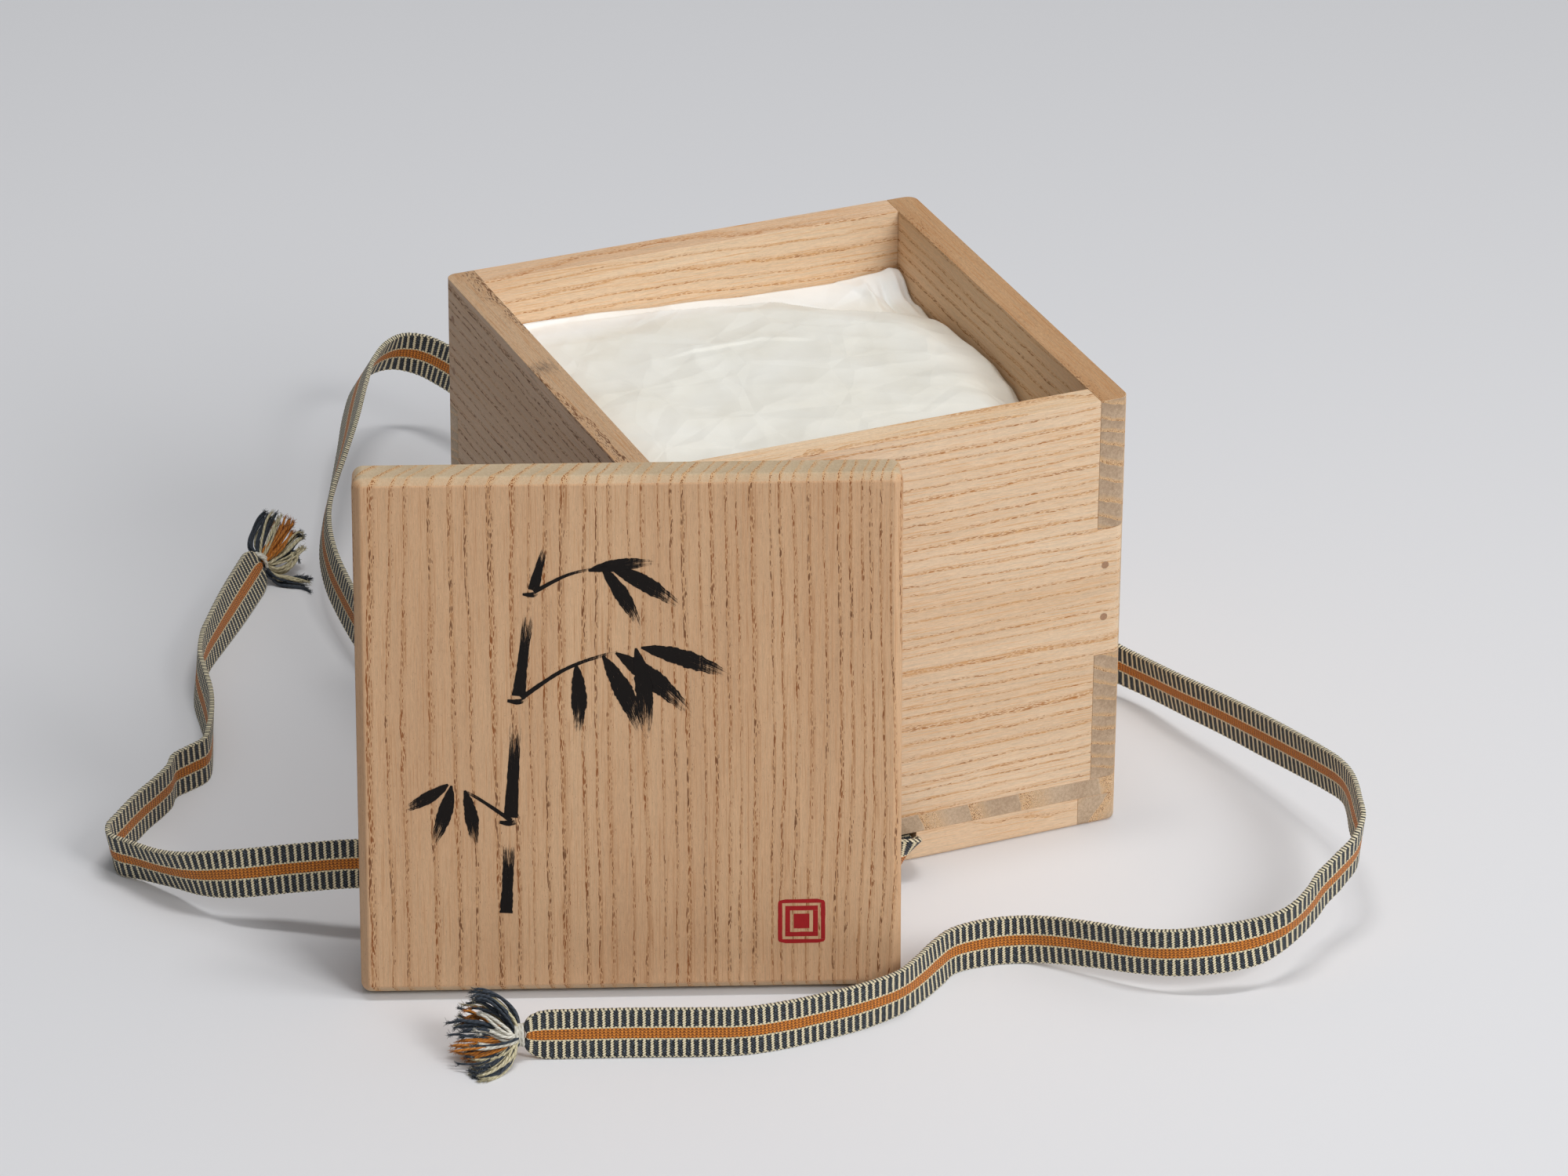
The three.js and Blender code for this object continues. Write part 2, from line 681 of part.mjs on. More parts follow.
/** A round profile turned about a direction, starting at a point, and flattened in height. */
function turned(profile, start, along, flat_share) {
  const points = profile.map(([radius, height]) => new THREE.Vector2(radius, height));
  const geometry = new THREE.LatheGeometry(points, tassel_sides);
  geometry.scale(1, 1, flat_share);
  const turn = new THREE.Quaternion().setFromUnitVectors(new THREE.Vector3(0, 1, 0), along);
  geometry.applyQuaternion(turn);
  geometry.translate(...start.toArray());
  return welded(geometry);
}

/** The thread binding and the frayed tuft past the end of a free stretch. */
function ribbon_finish(name, route) {
  const last = new THREE.Vector3(...route[route.length - 1].slice(0, 3));
  const before = new THREE.Vector3(...route[route.length - 2].slice(0, 3));
  const along = last.clone().sub(before).setZ(0).normalize();
  const tie_start = last.clone().addScaledVector(along, 2 * joint_gap);
  const tie_profile = [
    [0, 0],
    [tie_radius, tie_length * 0.2],
    [tie_radius, tie_length * 0.8],
    [0, tie_length],
  ];
  const tuft_start = tie_start.clone().addScaledVector(along, tie_length + joint_gap);
  tuft_start.z = tassel_radius * tassel_flat_share;
  const tuft_profile = [
    [0, 0],
    [tassel_radius * 0.45, tassel_length * 0.06],
    [tassel_radius * 0.8, tassel_length * 0.3],
    [tassel_radius, tassel_length * 0.65],
    [tassel_radius * 0.75, tassel_length * 0.93],
    [0, tassel_length],
  ];
  const binding = turned(tie_profile, tie_start, along, 1);
  const tuft = turned(tuft_profile, tuft_start, along, tassel_flat_share);
  place_cord(`tie_${name}`, binding, thread);
  place_cord(`tassel_${name}`, tuft, yarn);
}
ribbon_finish('front', front_end_route);
ribbon_finish('side', side_end_route);

// The origin is under the middle of the box and lid together, on the surface they stand on
const part = new THREE.Group();
part.add(assembly);
assembly.updateMatrixWorld(true);
const extent = new THREE.Box3();
assembly.traverse((piece) => {
  if (piece.isMesh && !cord_meshes.has(piece)) {
    extent.expandByObject(piece, true);
  }
});
const centre = extent.getCenter(new THREE.Vector3());
assembly.position.set(-centre.x, -centre.y, -extent.min.z);

export default part;
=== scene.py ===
"""The looks of a wooden storage box with a leaned lid, a loose woven ribbon and a paper wrapping.

The boards are planed paulownia, finger jointed and pegged. The lid stands on its lower edge and
leans on the box's front left corner. One flat ribbon passes under the base through slots in the
feet, and its free stretches stand on edge round the box. Lengths are metres, unless a name ends
in _mm or a class says millimetres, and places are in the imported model's own frame.
"""

import logging
import math
import random
from collections.abc import Callable, Sequence
from dataclasses import dataclass, field, replace
from enum import Enum
from itertools import product

import bmesh
import bpy
from mathutils import Matrix, Vector
from mathutils import noise as field_noise

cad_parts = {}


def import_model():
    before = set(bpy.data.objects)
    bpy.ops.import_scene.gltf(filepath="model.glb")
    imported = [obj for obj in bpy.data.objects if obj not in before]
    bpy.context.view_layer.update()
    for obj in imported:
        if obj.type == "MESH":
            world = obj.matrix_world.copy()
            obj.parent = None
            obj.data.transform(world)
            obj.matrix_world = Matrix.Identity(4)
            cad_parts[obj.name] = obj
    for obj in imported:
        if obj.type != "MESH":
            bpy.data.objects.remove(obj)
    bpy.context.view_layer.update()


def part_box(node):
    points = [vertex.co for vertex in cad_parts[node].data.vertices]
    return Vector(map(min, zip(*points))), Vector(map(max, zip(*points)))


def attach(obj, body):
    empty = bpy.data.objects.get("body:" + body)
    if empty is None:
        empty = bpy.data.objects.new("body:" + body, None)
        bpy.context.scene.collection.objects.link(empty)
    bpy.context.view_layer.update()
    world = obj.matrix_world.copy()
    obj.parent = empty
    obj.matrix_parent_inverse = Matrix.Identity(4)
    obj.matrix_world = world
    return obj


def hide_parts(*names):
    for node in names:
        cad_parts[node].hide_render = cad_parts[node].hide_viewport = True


log = logging.getLogger("storage_box")

MM = 0.001
IMAGE_WIDTH = 2000

# How near a place is to a face that it lies on, how near two places are that are one, how
# squarely a face looks one way, the steps of a round corner, and the noise between two boards
ON_FACE = 1e-5
SAME_PLACE = 1e-6
SQUARE_ON = 0.9
CORNER_STEPS = 6
DRIFT_MM = 311.0

Colour = tuple[float, float, float]
Point = tuple[float, float, float]
Yarn = tuple[list[Vector], float]
Table = tuple[tuple[float, float], ...]
Piece = bpy.types.Object
Material = bpy.types.Material
Socket = bpy.types.NodeSocket
Edge = bmesh.types.BMEdge
Face = bmesh.types.BMFace


def srgb(red: int, green: int, blue: int) -> Colour:
    """Turns a colour as seen on a screen into the linear one that shaders take.

    Args:
        red: Red, from 0 to 255.
        green: Green, from 0 to 255.
        blue: Blue, from 0 to 255.

    Returns:
        The linear colour.
    """

    def linear(value: float) -> float:
        """One channel, from 0 to 1."""
        return value / 12.92 if value <= 0.04045 else ((value + 0.055) / 1.055) ** 2.4

    return (linear(red / 255), linear(green / 255), linear(blue / 255))


# Shader nodes


class Value:
    """A socket that carries one number, for sums written as Python expressions."""

    def __init__(self, finish: "Finish", socket: Socket) -> None:
        """Wraps a socket of one of a finish's nodes."""
        self.finish = finish
        self.socket = socket

    def _sum(self, operation: str, *others: "Value | float", clamp: bool = False) -> "Value":
        """Adds one Math node.

        Args:
            operation: The node's operation.
            others: What goes into its other sockets.
            clamp: Whether the result is kept between 0 and 1.

        Returns:
            The node's result.
        """
        inputs = {0: self, **{index + 1: other for index, other in enumerate(others)}}
        settings = {"operation": operation, "use_clamp": clamp}
        return self.finish.value("ShaderNodeMath", settings, inputs)

    def __add__(self, other: "Value | float") -> "Value":
        """The sum of two numbers."""
        return self._sum("ADD", other)

    __radd__ = __add__

    def __sub__(self, other: "Value | float") -> "Value":
        """This number less another."""
        return self._sum("SUBTRACT", other)

    def __rsub__(self, other: float) -> "Value":
        """Another number less this one."""
        return self._sum("MULTIPLY", -1.0)._sum("ADD", other)

    def __mul__(self, other: "Value | float") -> "Value":
        """The product of two numbers."""
        return self._sum("MULTIPLY", other)

    __rmul__ = __mul__

    def __truediv__(self, other: "Value | float") -> "Value":
        """This number over another."""
        return self._sum("DIVIDE", other)

    def __abs__(self) -> "Value":
        """The number without its sign."""
        return self._sum("ABSOLUTE")

    def power(self, exponent: float) -> "Value":
        """The number to a power."""
        return self._sum("POWER", exponent)

    def fraction(self) -> "Value":
        """What is left over a whole number."""
        return self._sum("FRACT")

    def whole(self) -> "Value":
        """The whole number below."""
        return self._sum("FLOOR")

    def wave(self) -> "Value":
        """The cosine of whole turns, from 0 to 1."""
        return (self * math.tau)._sum("COSINE") * 0.5 + 0.5

    def within(self) -> "Value":
        """The number kept between 0 and 1."""
        return self._sum("ADD", 0.0, clamp=True)

    def step(self, low: "Value | float", high: "Value | float") -> "Value":
        """A smooth rise from 0 at low to 1 at high.

        Args:
            low: Where the rise starts.
            high: Where it ends. It may be below low, and then the result falls.

        Returns:
            The height of the rise at this number.
        """
        share = ((self - low) / (high - low)).within()
        return share * share * (3.0 - 2.0 * share)


class Finish:
    """One material: its node tree, its main shader, and the one way that nodes are added."""

    def __init__(self, name: str, roughness: float) -> None:
        """Starts a material with only its main shader.

        Args:
            name: The material's name.
            roughness: How dull the surface is.
        """
        self.material = bpy.data.materials.new(name)
        self.material.use_nodes = True
        self.tree = self.material.node_tree
        self.shader = next(n for n in self.tree.nodes if n.type == "BSDF_PRINCIPLED")
        self.shader.inputs["Roughness"].default_value = roughness
        self.material.diffuse_color = (0.7, 0.6, 0.5, 1.0)

    def node(self, kind: str, settings: dict | None = None, inputs: dict | None = None) -> bpy.types.Node:
        """Adds one node.

        Args:
            kind: The node's type.
            settings: Its properties.
            inputs: Its sockets, by name or number, with values or links.

        Returns:
            The node.
        """
        made = self.tree.nodes.new(kind)
        for key, value in (settings or {}).items():
            setattr(made, key, value)
        for key, value in (inputs or {}).items():
            self.feed(made.inputs[key], value)
        return made

    def feed(self, socket: Socket, value: object) -> None:
        """Gives a socket a link or a value.

        Args:
            socket: The socket to feed.
            value: A Value, another node's output, a colour, a vector or a number.
        """
        if isinstance(value, Value):
            self.tree.links.new(value.socket, socket)
        elif isinstance(value, Socket):
            self.tree.links.new(value, socket)
        elif isinstance(value, tuple) and len(value) == 3 and socket.type == "RGBA":
            socket.default_value = (*value, 1.0)
        else:
            socket.default_value = value

    def show(self, name: str, value: object) -> None:
        """Gives one of the main shader's sockets a link or a value."""
        self.feed(self.shader.inputs[name], value)

    def value(self, kind: str, settings: dict | None = None, inputs: dict | None = None) -> Value:
        """Adds a node and gives its first output as a number."""
        return Value(self, self.node(kind, settings, inputs).outputs[0])

    def vector(self, operation: str, first: object, second: object) -> bpy.types.Node:
        """Adds one Vector Math node with two inputs."""
        return self.node("ShaderNodeVectorMath", {"operation": operation}, {0: first, 1: second})

    def where(self, kind: str = "Object") -> Socket:
        """The coordinates of one kind, such as Object or Normal."""
        return self.node("ShaderNodeTexCoord").outputs[kind]

    def weave(self) -> Socket:
        """The piece's own UV map."""
        return self.node("ShaderNodeUVMap", {"uv_map": "Weave"}).outputs[0]

    def parts(self, place: Socket) -> list[Value]:
        """A vector's X, Y and Z."""
        return [Value(self, socket) for socket in self.node("ShaderNodeSeparateXYZ", {}, {0: place}).outputs]

    def mix(self, share: Value | float, first: object, second: object, how: str = "MIX") -> Socket:
        """Blends two colours.

        Args:
            share: How much of the second one shows.
            first: A colour or a colour socket.
            second: A colour or a colour socket.
            how: The way in which they blend.

        Returns:
            The blended colour's socket.
        """
        settings = {"data_type": "RGBA", "blend_type": how}
        return self.node("ShaderNodeMix", settings, {0: share, 6: first, 7: second}).outputs[2]

    def noise(self, place: Socket, scale: Point, detail: float = 1.0, rough: float = 0.5) -> bpy.types.Node:
        """Adds noise that is stretched by its own scale along each axis.

        Args:
            place: The coordinates.
            scale: How fine the noise is along each axis.
            detail: How many finer layers it has.
            rough: How strong those layers are.

        Returns:
            The noise node.
        """
        stretched = self.vector("MULTIPLY", place, scale).outputs[0]
        inputs = {"Vector": stretched, "Scale": 1.0, "Detail": detail, "Roughness": rough}
        return self.node("ShaderNodeTexNoise", {"noise_dimensions": "3D"}, inputs)

    def cloud(self, place: Socket, scale: Point, detail: float = 1.0, rough: float = 0.5) -> Value:
        """The same noise as one number, from 0 to 1."""
        return Value(self, self.noise(place, scale, detail, rough).outputs[0])

    def cells(self, place: Socket, shaken: Socket, share: float, scale: float, feature: str) -> Value:
        """How far a place is from scattered cell points.

        Args:
            place: The coordinates.
            shaken: Noise that shakes them.
            share: How much of it shakes them.
            scale: How close the points are.
            feature: F1 for the nearest point and F2 for the next one.

        Returns:
            The distance.
        """
        moved = self.node("ShaderNodeMix", {"data_type": "VECTOR"}, {0: share, 4: place, 5: shaken})
        settings = {"voronoi_dimensions": "3D", "feature": feature}
        points = self.node("ShaderNodeTexVoronoi", settings, {"Vector": moved.outputs[1], "Scale": scale})
        return Value(self, points.outputs["Distance"])

    def relief(self, height: Value, depth: float, strength: float = 1.0) -> None:
        """Makes the surface follow a height.

        Args:
            height: The height, from 0 to 1.
            depth: How many metres a height of 1 is.
            strength: How much of it shows.
        """
        bump = self.node("ShaderNodeBump", {}, {"Strength": strength, "Distance": depth, "Height": height})
        self.show("Normal", bump.outputs[0])


# Finishes


class Grain(Enum):
    """The way that a board's fibres run. Its value is the board's own X, Y and Z axes."""

    ACROSS = ((1.0, 0.0, 0.0), (0.0, 1.0, 0.0), (0.0, 0.0, 1.0))
    DEEP = ((0.0, 1.0, 0.0), (-1.0, 0.0, 0.0), (0.0, 0.0, 1.0))
    UPRIGHT = ((0.0, 0.0, 1.0), (0.0, 1.0, 0.0), (-1.0, 0.0, 0.0))

    def axes(self) -> Matrix:
        """The matrix that turns the grain's axes into the board's."""
        return Matrix(self.value).transposed()


@dataclass(frozen=True)
class Timber:
    """The colours of one kind of board and how clearly its pores show."""

    pale: Colour = srgb(240, 213, 181)
    warm: Colour = srgb(224, 191, 155)
    line: Colour = srgb(212, 160, 106)
    pore: Colour = srgb(184, 118, 60)
    pore_dark: Colour = srgb(164, 106, 60)
    halo: Colour = srgb(248, 224, 192)
    end_pale: Colour = srgb(212, 188, 160)
    end_deep: Colour = srgb(180, 154, 127)
    end_line: Colour = srgb(216, 174, 124)
    end_pore: Colour = srgb(140, 88, 46)
    pore_depth: float = 0.82
    roughness: float = 0.6


@dataclass(frozen=True)
class BoardFinish:
    """The figure of one board, cut from the log at its own place.

    heart_mm is where the log's heart is, across the grain, from the board's middle. The growth
    rings lie round it, ring_mm apart at the board's middle, and crowd above 1 draws the outer
    ones together. drift moves the noise, so that no two boards are alike. wander_mm is how far
    the rings waver, figure is how clear they are, early_share is how much of a ring has pores,
    and pore_scale and pore_size are how fine and how wide the pores are. stain is a mark's middle
    and radius. One tint over the whole board is painted shade, darker and cooler on a side that
    faces away from the lights. Another tint over the part that faces up is painted shade too, and
    rim_pores is how rough that part is worn.
    """

    name: str
    timber: Timber
    grain: Grain
    middle: Vector
    heart_mm: tuple[float, float]
    ring_mm: float
    drift: float
    turn: Matrix = field(default_factory=lambda: Matrix.Identity(3))
    early_share: float = 0.36
    crowd: float = 1.0
    wander_mm: float = 1.0
    figure: float = 1.0
    pore_scale: Point = (0.4, 3.0, 3.0)
    pore_size: float = 0.9
    stain: tuple[Point, float] | None = None
    board_painted_shade: Colour = (1.0, 1.0, 1.0)
    rim_painted_shade: Colour = (1.0, 1.0, 1.0)
    rim_pores: float = 0.0

    def make(self) -> Material:
        """Builds the board's material.

        Returns:
            The material.
        """
        timber = self.timber
        finish = Finish(self.name, timber.roughness)
        finish.show("Specular IOR Level", 0.3)
        axes = self.turn @ self.grain.axes()
        place = self._place(finish, axes)
        phase, band, first = self._rings(finish, place)
        upper = finish.parts(finish.where("Normal"))[2].step(0.6, 0.9)
        band = (band + upper * (self.rim_pores * 0.3)).within()
        end = self._end_share(finish, axes)
        side = 1.0 - end
        pores, halo = self._pores(finish, place, band, first)
        fibre = finish.cloud(place, (0.5, 4.2, 4.2), 2.0, 0.7) - 0.5
        streak = finish.cloud(place, (0.035, 2.3, 2.3), 3.0, 0.7) - 0.5
        broad = finish.cloud(place, (0.008, 0.07, 0.07), 2.0, 0.5) - 0.5
        tone = (broad * 1.6 + phase * 0.3 + streak * 1.1 + 0.3).within()
        colour = finish.mix(tone, timber.pale, timber.warm)
        mottle = finish.cloud(place, (0.05, 1.0, 1.0), 4.0, 0.75) - 0.5
        end_tone = (broad * 1.4 + phase * 0.4 + 0.3 + streak * 1.4 + mottle * 2.6).within()
        colour = finish.mix(end, colour, finish.mix(end_tone, timber.end_pale, timber.end_deep))
        worn = upper * self.rim_pores
        light = (fibre * 0.5 + streak * (side * 0.3 + 0.4)) * (worn * 3.0 + 1.0) + 1.0
        shade = finish.node("ShaderNodeCombineColor", {}, {0: light, 1: light, 2: light})
        colour = finish.mix(1.0, colour, shade.outputs[0], "MULTIPLY")
        hair_lines = streak.step(0.03, 0.17) * side
        hair_lines = hair_lines * 0.65 + worn * streak.step(-0.02, 0.12)
        line_share = (band * (streak * 1.8 + 0.7) + first * 0.5 + hair_lines).within()
        colour = finish.mix(line_share, colour, finish.mix(end, timber.line, timber.end_line))
        colour = finish.mix(halo * 0.62, colour, timber.halo)
        ageing = finish.cloud(place, (0.03, 0.22, 0.22), 1.0)
        aged = finish.mix(ageing.step(0.42, 0.62), timber.pore, timber.pore_dark)
        pore_colour = finish.mix(end, aged, timber.end_pore)
        colour = finish.mix((pores * timber.pore_depth).within(), colour, pore_colour)
        # Painted shade: the whole board is darkened and cooled where it is a side away from the lights, and
        # the part that faces up is darkened further.
        colour = finish.mix(1.0, colour, self.board_painted_shade, "MULTIPLY")
        colour = finish.mix(upper, colour, finish.mix(1.0, colour, self.rim_painted_shade, "MULTIPLY"))
        colour = self._stained(finish, colour)
        finish.show("Base Color", colour)
        rough = (pores * 0.2 + timber.roughness + fibre * 0.25).within()
        finish.show("Roughness", rough)
        finish.relief(1.0 - pores * 0.8 + fibre * 0.5 + streak * 0.5, 0.00012, 0.6)
        return finish.material

    def _place(self, finish: Finish, axes: Matrix) -> Socket:
        """Where a point of the board is in its own grain.

        Args:
            finish: The material.
            axes: What turns the grain's axes into the board's.

        Returns:
            Millimetres from the board's middle, X along the grain.
        """
        inputs = {
            "Vector": finish.where(),
            "Location": tuple(self.middle),
            "Rotation": tuple(axes.to_euler()),
            "Scale": (MM, MM, MM),
        }
        centred = finish.node("ShaderNodeMapping", {"vector_type": "TEXTURE"}, inputs).outputs[0]
        return finish.vector("ADD", centred, (self.drift * DRIFT_MM, 0.0, 0.0)).outputs[0]

    def _rings(self, finish: Finish, place: Socket) -> tuple[Value, Value, Value]:
        """The growth rings.

        Args:
            finish: The material.
            place: The place in the grain.

        Returns:
            The place within a ring, how much of its pore band is there, and of its first row.
        """
        _, depth, height = finish.parts(place)
        wide = finish.cloud(place, (0.006, 0.018, 0.018)) - 0.5
        small = finish.cloud(place, (0.075, 0.16, 0.16), 2.0, 0.55) - 0.5
        across = depth - self.heart_mm[0]
        up = height - self.heart_mm[1]
        reach = (across * across + up * up).power(0.5)
        reach = reach + (wide * 14.0 + small * 2.0) * self.wander_mm
        start = math.hypot(*self.heart_mm)
        rings = (reach / start).power(self.crowd) * (start / (self.crowd * self.ring_mm)) + self.drift
        row = finish.node("ShaderNodeCombineXYZ", {}, {0: rings * 0.47, 1: self.drift * 7.0})
        inputs = {"Vector": row.outputs[0], "Scale": 1.0, "Detail": 1.0}
        rings = rings + finish.value("ShaderNodeTexNoise", {}, inputs) * 1.9
        phase = rings.fraction()
        settings = {"noise_dimensions": "1D"}
        random_ring = finish.value("ShaderNodeTexWhiteNoise", settings, {"W": rings.whole()})
        worn = finish.cloud(place, (0.05, 0.4, 0.4), 2.0, 0.6) - 0.5
        strength = (random_ring * 0.5 + worn * 1.5 + 0.58).within() * self.figure
        strength = strength * phase.step(0.0, 0.03)
        band = phase.step(self.early_share, self.early_share * 0.35) * strength
        first = phase.step(self.early_share * 0.36, self.early_share * 0.2) * strength
        return phase, band, first

    def _pores(self, finish: Finish, place: Socket, band: Value, first: Value) -> tuple[Value, Value]:
        """Long vessels that are wide in the bands and shrink away between them.

        Args:
            finish: The material.
            place: The place in the grain.
            band: How much of a ring's pore band is there.
            first: How much of its first row is there.

        Returns:
            The vessels, and their pale rims.
        """
        stretched = finish.vector("MULTIPLY", place, self.pore_scale).outputs[0]
        shaken = finish.noise(place, (0.5, 2.5, 2.5)).outputs[1]
        near = finish.cells(stretched, shaken, 0.3, 1.4, "F1")
        radius = (band * 0.42 + first * 0.14 + 0.1) * self.pore_size
        pores = near.step(radius, radius * 0.6)
        halo = near.step(radius + 0.22, radius + 0.04) * (1.0 - pores) * band
        return pores, halo

    def _end_share(self, finish: Finish, axes: Matrix) -> Value:
        """How much the surface is end grain, from its own direction."""
        along = tuple(axes @ Vector((1.0, 0.0, 0.0)))
        turned = finish.vector("DOT_PRODUCT", finish.where("Normal"), along)
        return abs(Value(finish, turned.outputs["Value"])).step(0.5, 0.86)

    def _stained(self, finish: Finish, colour: Socket) -> Socket:
        """A greyish knot mark, where the board has one.

        Args:
            finish: The material.
            colour: The board's colour.

        Returns:
            The colour with the mark.
        """
        if self.stain is None:
            return colour
        centre, radius = self.stain
        place = finish.where()
        shaken = finish.cloud(place, (900.0, 110.0, 900.0), 3.0, 0.75)
        reach = Value(finish, finish.vector("DISTANCE", place, centre).outputs["Value"])
        reach = reach + (shaken - 0.5) * (radius * 2.6)
        streaks = finish.cloud(place, (1700.0, 300.0, 1700.0), 3.0, 0.8)
        share = reach.step(radius, radius * 0.2) * (streaks.step(0.44, 0.6) * 0.5 + 0.3)
        return finish.mix(share, colour, srgb(98, 84, 72))


@dataclass(frozen=True)
class PegFinish:
    """End grain of a peg's head, with painted shade darkening the ring where it meets its hole."""

    name: str = "peg_end_grain"

    def make(self) -> Material:
        """Builds the pegs' material, which reads how far a point is from the peg's middle."""
        finish = Finish(self.name, 0.66)
        coordinates = finish.where()
        rim = Value(finish, finish.node("ShaderNodeAttribute", {"attribute_name": "rim"}).outputs["Fac"])
        speckle = finish.cloud(coordinates, (2600.0, 2600.0, 2600.0), 2.0, 0.7)
        broad = finish.cloud(coordinates, (240.0, 240.0, 240.0), 1.0)
        colour = finish.mix((speckle * 1.6 - 0.3).within(), srgb(150, 112, 84), srgb(200, 160, 126))
        colour = finish.mix((broad * 0.7).within(), colour, srgb(160, 120, 90))
        # Painted shade: the ring where the head meets its hole is darkened.
        colour = finish.mix(rim.step(0.8, 0.97) * 0.75, colour, srgb(112, 82, 56))
        finish.show("Base Color", colour)
        finish.show("Roughness", (speckle * 0.2 + 0.55).within())
        finish.relief(speckle, 0.00008, 0.6)
        return finish.material


@dataclass(frozen=True)
class WeaveFinish:
    """The woven ribbon: an ochre middle stripe, and navy and cream bars on both sides of it.
    Its threads are painted lighter on their crowns and darker in the gaps between them, as painted shade.

    The ribbon's UV map gives millimetres along it and millimetres across it from its middle.
    """

    name: str = "ribbon_weave"
    bar_mm: float = 2.42
    navy: Colour = srgb(82, 91, 102)
    navy_deep: Colour = srgb(10, 13, 18)
    cream: Colour = srgb(248, 236, 202)
    cream_deep: Colour = srgb(168, 150, 110)
    ochre: Colour = srgb(242, 149, 50)
    ochre_deep: Colour = srgb(112, 58, 14)

    def make(self) -> Material:
        """Builds the ribbon's material.

        Returns:
            The material.
        """
        finish = Finish(self.name, 0.85)
        plane = finish.weave()
        along, across, _ = finish.parts(plane)
        off = abs(across)
        wobble = finish.cloud(plane, (0.6, 0.9, 1.0), 2.0) - 0.5
        fuzz = finish.cloud(plane, (1.5, 1.5, 1.0), 3.0, 0.75) - 0.5
        strand = finish.cloud(plane, (3.0, 0.8, 1.0), 2.0, 0.6) - 0.5

        turns = (along + wobble * 0.45 + fuzz * 0.16) / self.bar_mm
        bar = turns.fraction()
        rib = (turns * 2.0).wave()
        tooth = (across * 1.25 + (bar - 0.78) * 1.6).wave()
        edge = tooth * 0.12 + 0.12
        cream_share = abs(bar - 0.78).step(edge + 0.02, edge - 0.02)
        # Painted shade: each bar is lighter on its crown and darker at its edges and in the gaps between
        # threads, over the yarns' own navy and cream.
        bar_round = 1.0 - abs(bar - 0.78) * 4.0
        navy_round = 1.0 - abs(bar - 0.28) * 2.8
        cream_light = (tooth * 0.6 + bar_round * 0.5 + fuzz * 1.1 - 0.02).within()
        cream = finish.mix(cream_light, self.cream_deep, self.cream)
        ply = (across * 1.25 - bar * 2.2).wave()
        navy_light = (ply * 0.75 + fuzz * 2.6 + strand * 1.0 + navy_round * 0.35 - 0.42).within()
        navy = finish.mix(navy_light, self.navy_deep, self.navy)
        navy = finish.mix(fuzz.step(0.06, 0.22) * 0.6, navy, srgb(136, 143, 148))
        bars = finish.mix(cream_share, navy, cream)

        # Painted shade: the ochre ribs and the beaded cream lines are lighter on their crowns and darker
        # between them.
        grip = (across * 1.2 + rib * 0.5).wave()
        ochre_light = (rib * 0.55 + grip * 0.7 + fuzz * 1.6 - 0.24).within()
        ochre = finish.mix(ochre_light, self.ochre_deep, self.ochre)
        bead = (turns * 2.0 + 0.5).wave() * 0.26
        inner = off + wobble * 0.3
        line_share = inner.step(1.56, 1.66) * inner.step(1.96 + bead, 1.84 + bead)
        middle_share = inner.step(1.66, 1.56)
        line_light = ((turns * 2.0 + 0.5).wave() * 0.6 + 0.3 + fuzz).within()
        line = finish.mix(line_light, self.cream_deep, self.cream)
        colour = finish.mix(line_share, bars, line)
        colour = finish.mix(middle_share, colour, ochre)
        selvedge = (off + fuzz * 0.3).step(7.16, 7.26)
        loops = finish.mix((rib + fuzz * 0.4).step(0.42, 0.58), self.navy_deep, self.cream)
        colour = finish.mix(selvedge * 0.85, colour, loops)
        finish.show("Base Color", colour)
        finish.show("Sheen Weight", 0.12)
        cream_height = cream_share * (bar_round * 0.5 + tooth * 0.35 + 0.3)
        navy_height = (1.0 - cream_share) * (navy_round * 0.5 + ply * 0.25)
        outer_height = (cream_height + navy_height) * (1.0 - middle_share)
        height = outer_height + middle_share * (rib * 0.6 + grip * 0.45) + line_share * 0.35 + fuzz * 0.35
        finish.relief(height, 0.00022, 0.8)
        return finish.material


@dataclass(frozen=True)
class YarnFinish:
    """Loose cotton yarn: one colour with lighter hairs, its plies wound along it.

    The yarn's UV map gives millimetres along it and turns round it.
    """

    name: str
    deep: Colour
    light: Colour

    def make(self) -> Material:
        """Builds the yarn's material.

        Returns:
            The material.
        """
        finish = Finish(self.name, 0.9)
        plane = finish.weave()
        along, around, _ = finish.parts(plane)
        fuzz = finish.cloud(plane, (2.4, 5.0, 1.0), 3.0, 0.7) - 0.5
        ply = (along * 0.55 + around * 2.0).wave()
        share = (ply * 0.6 + fuzz * 1.5 + 0.25).within()
        finish.show("Base Color", finish.mix(share, self.deep, self.light))
        finish.show("Sheen Weight", 0.15)
        finish.relief(ply + fuzz * 0.6, 0.00012, 0.7)
        return finish.material


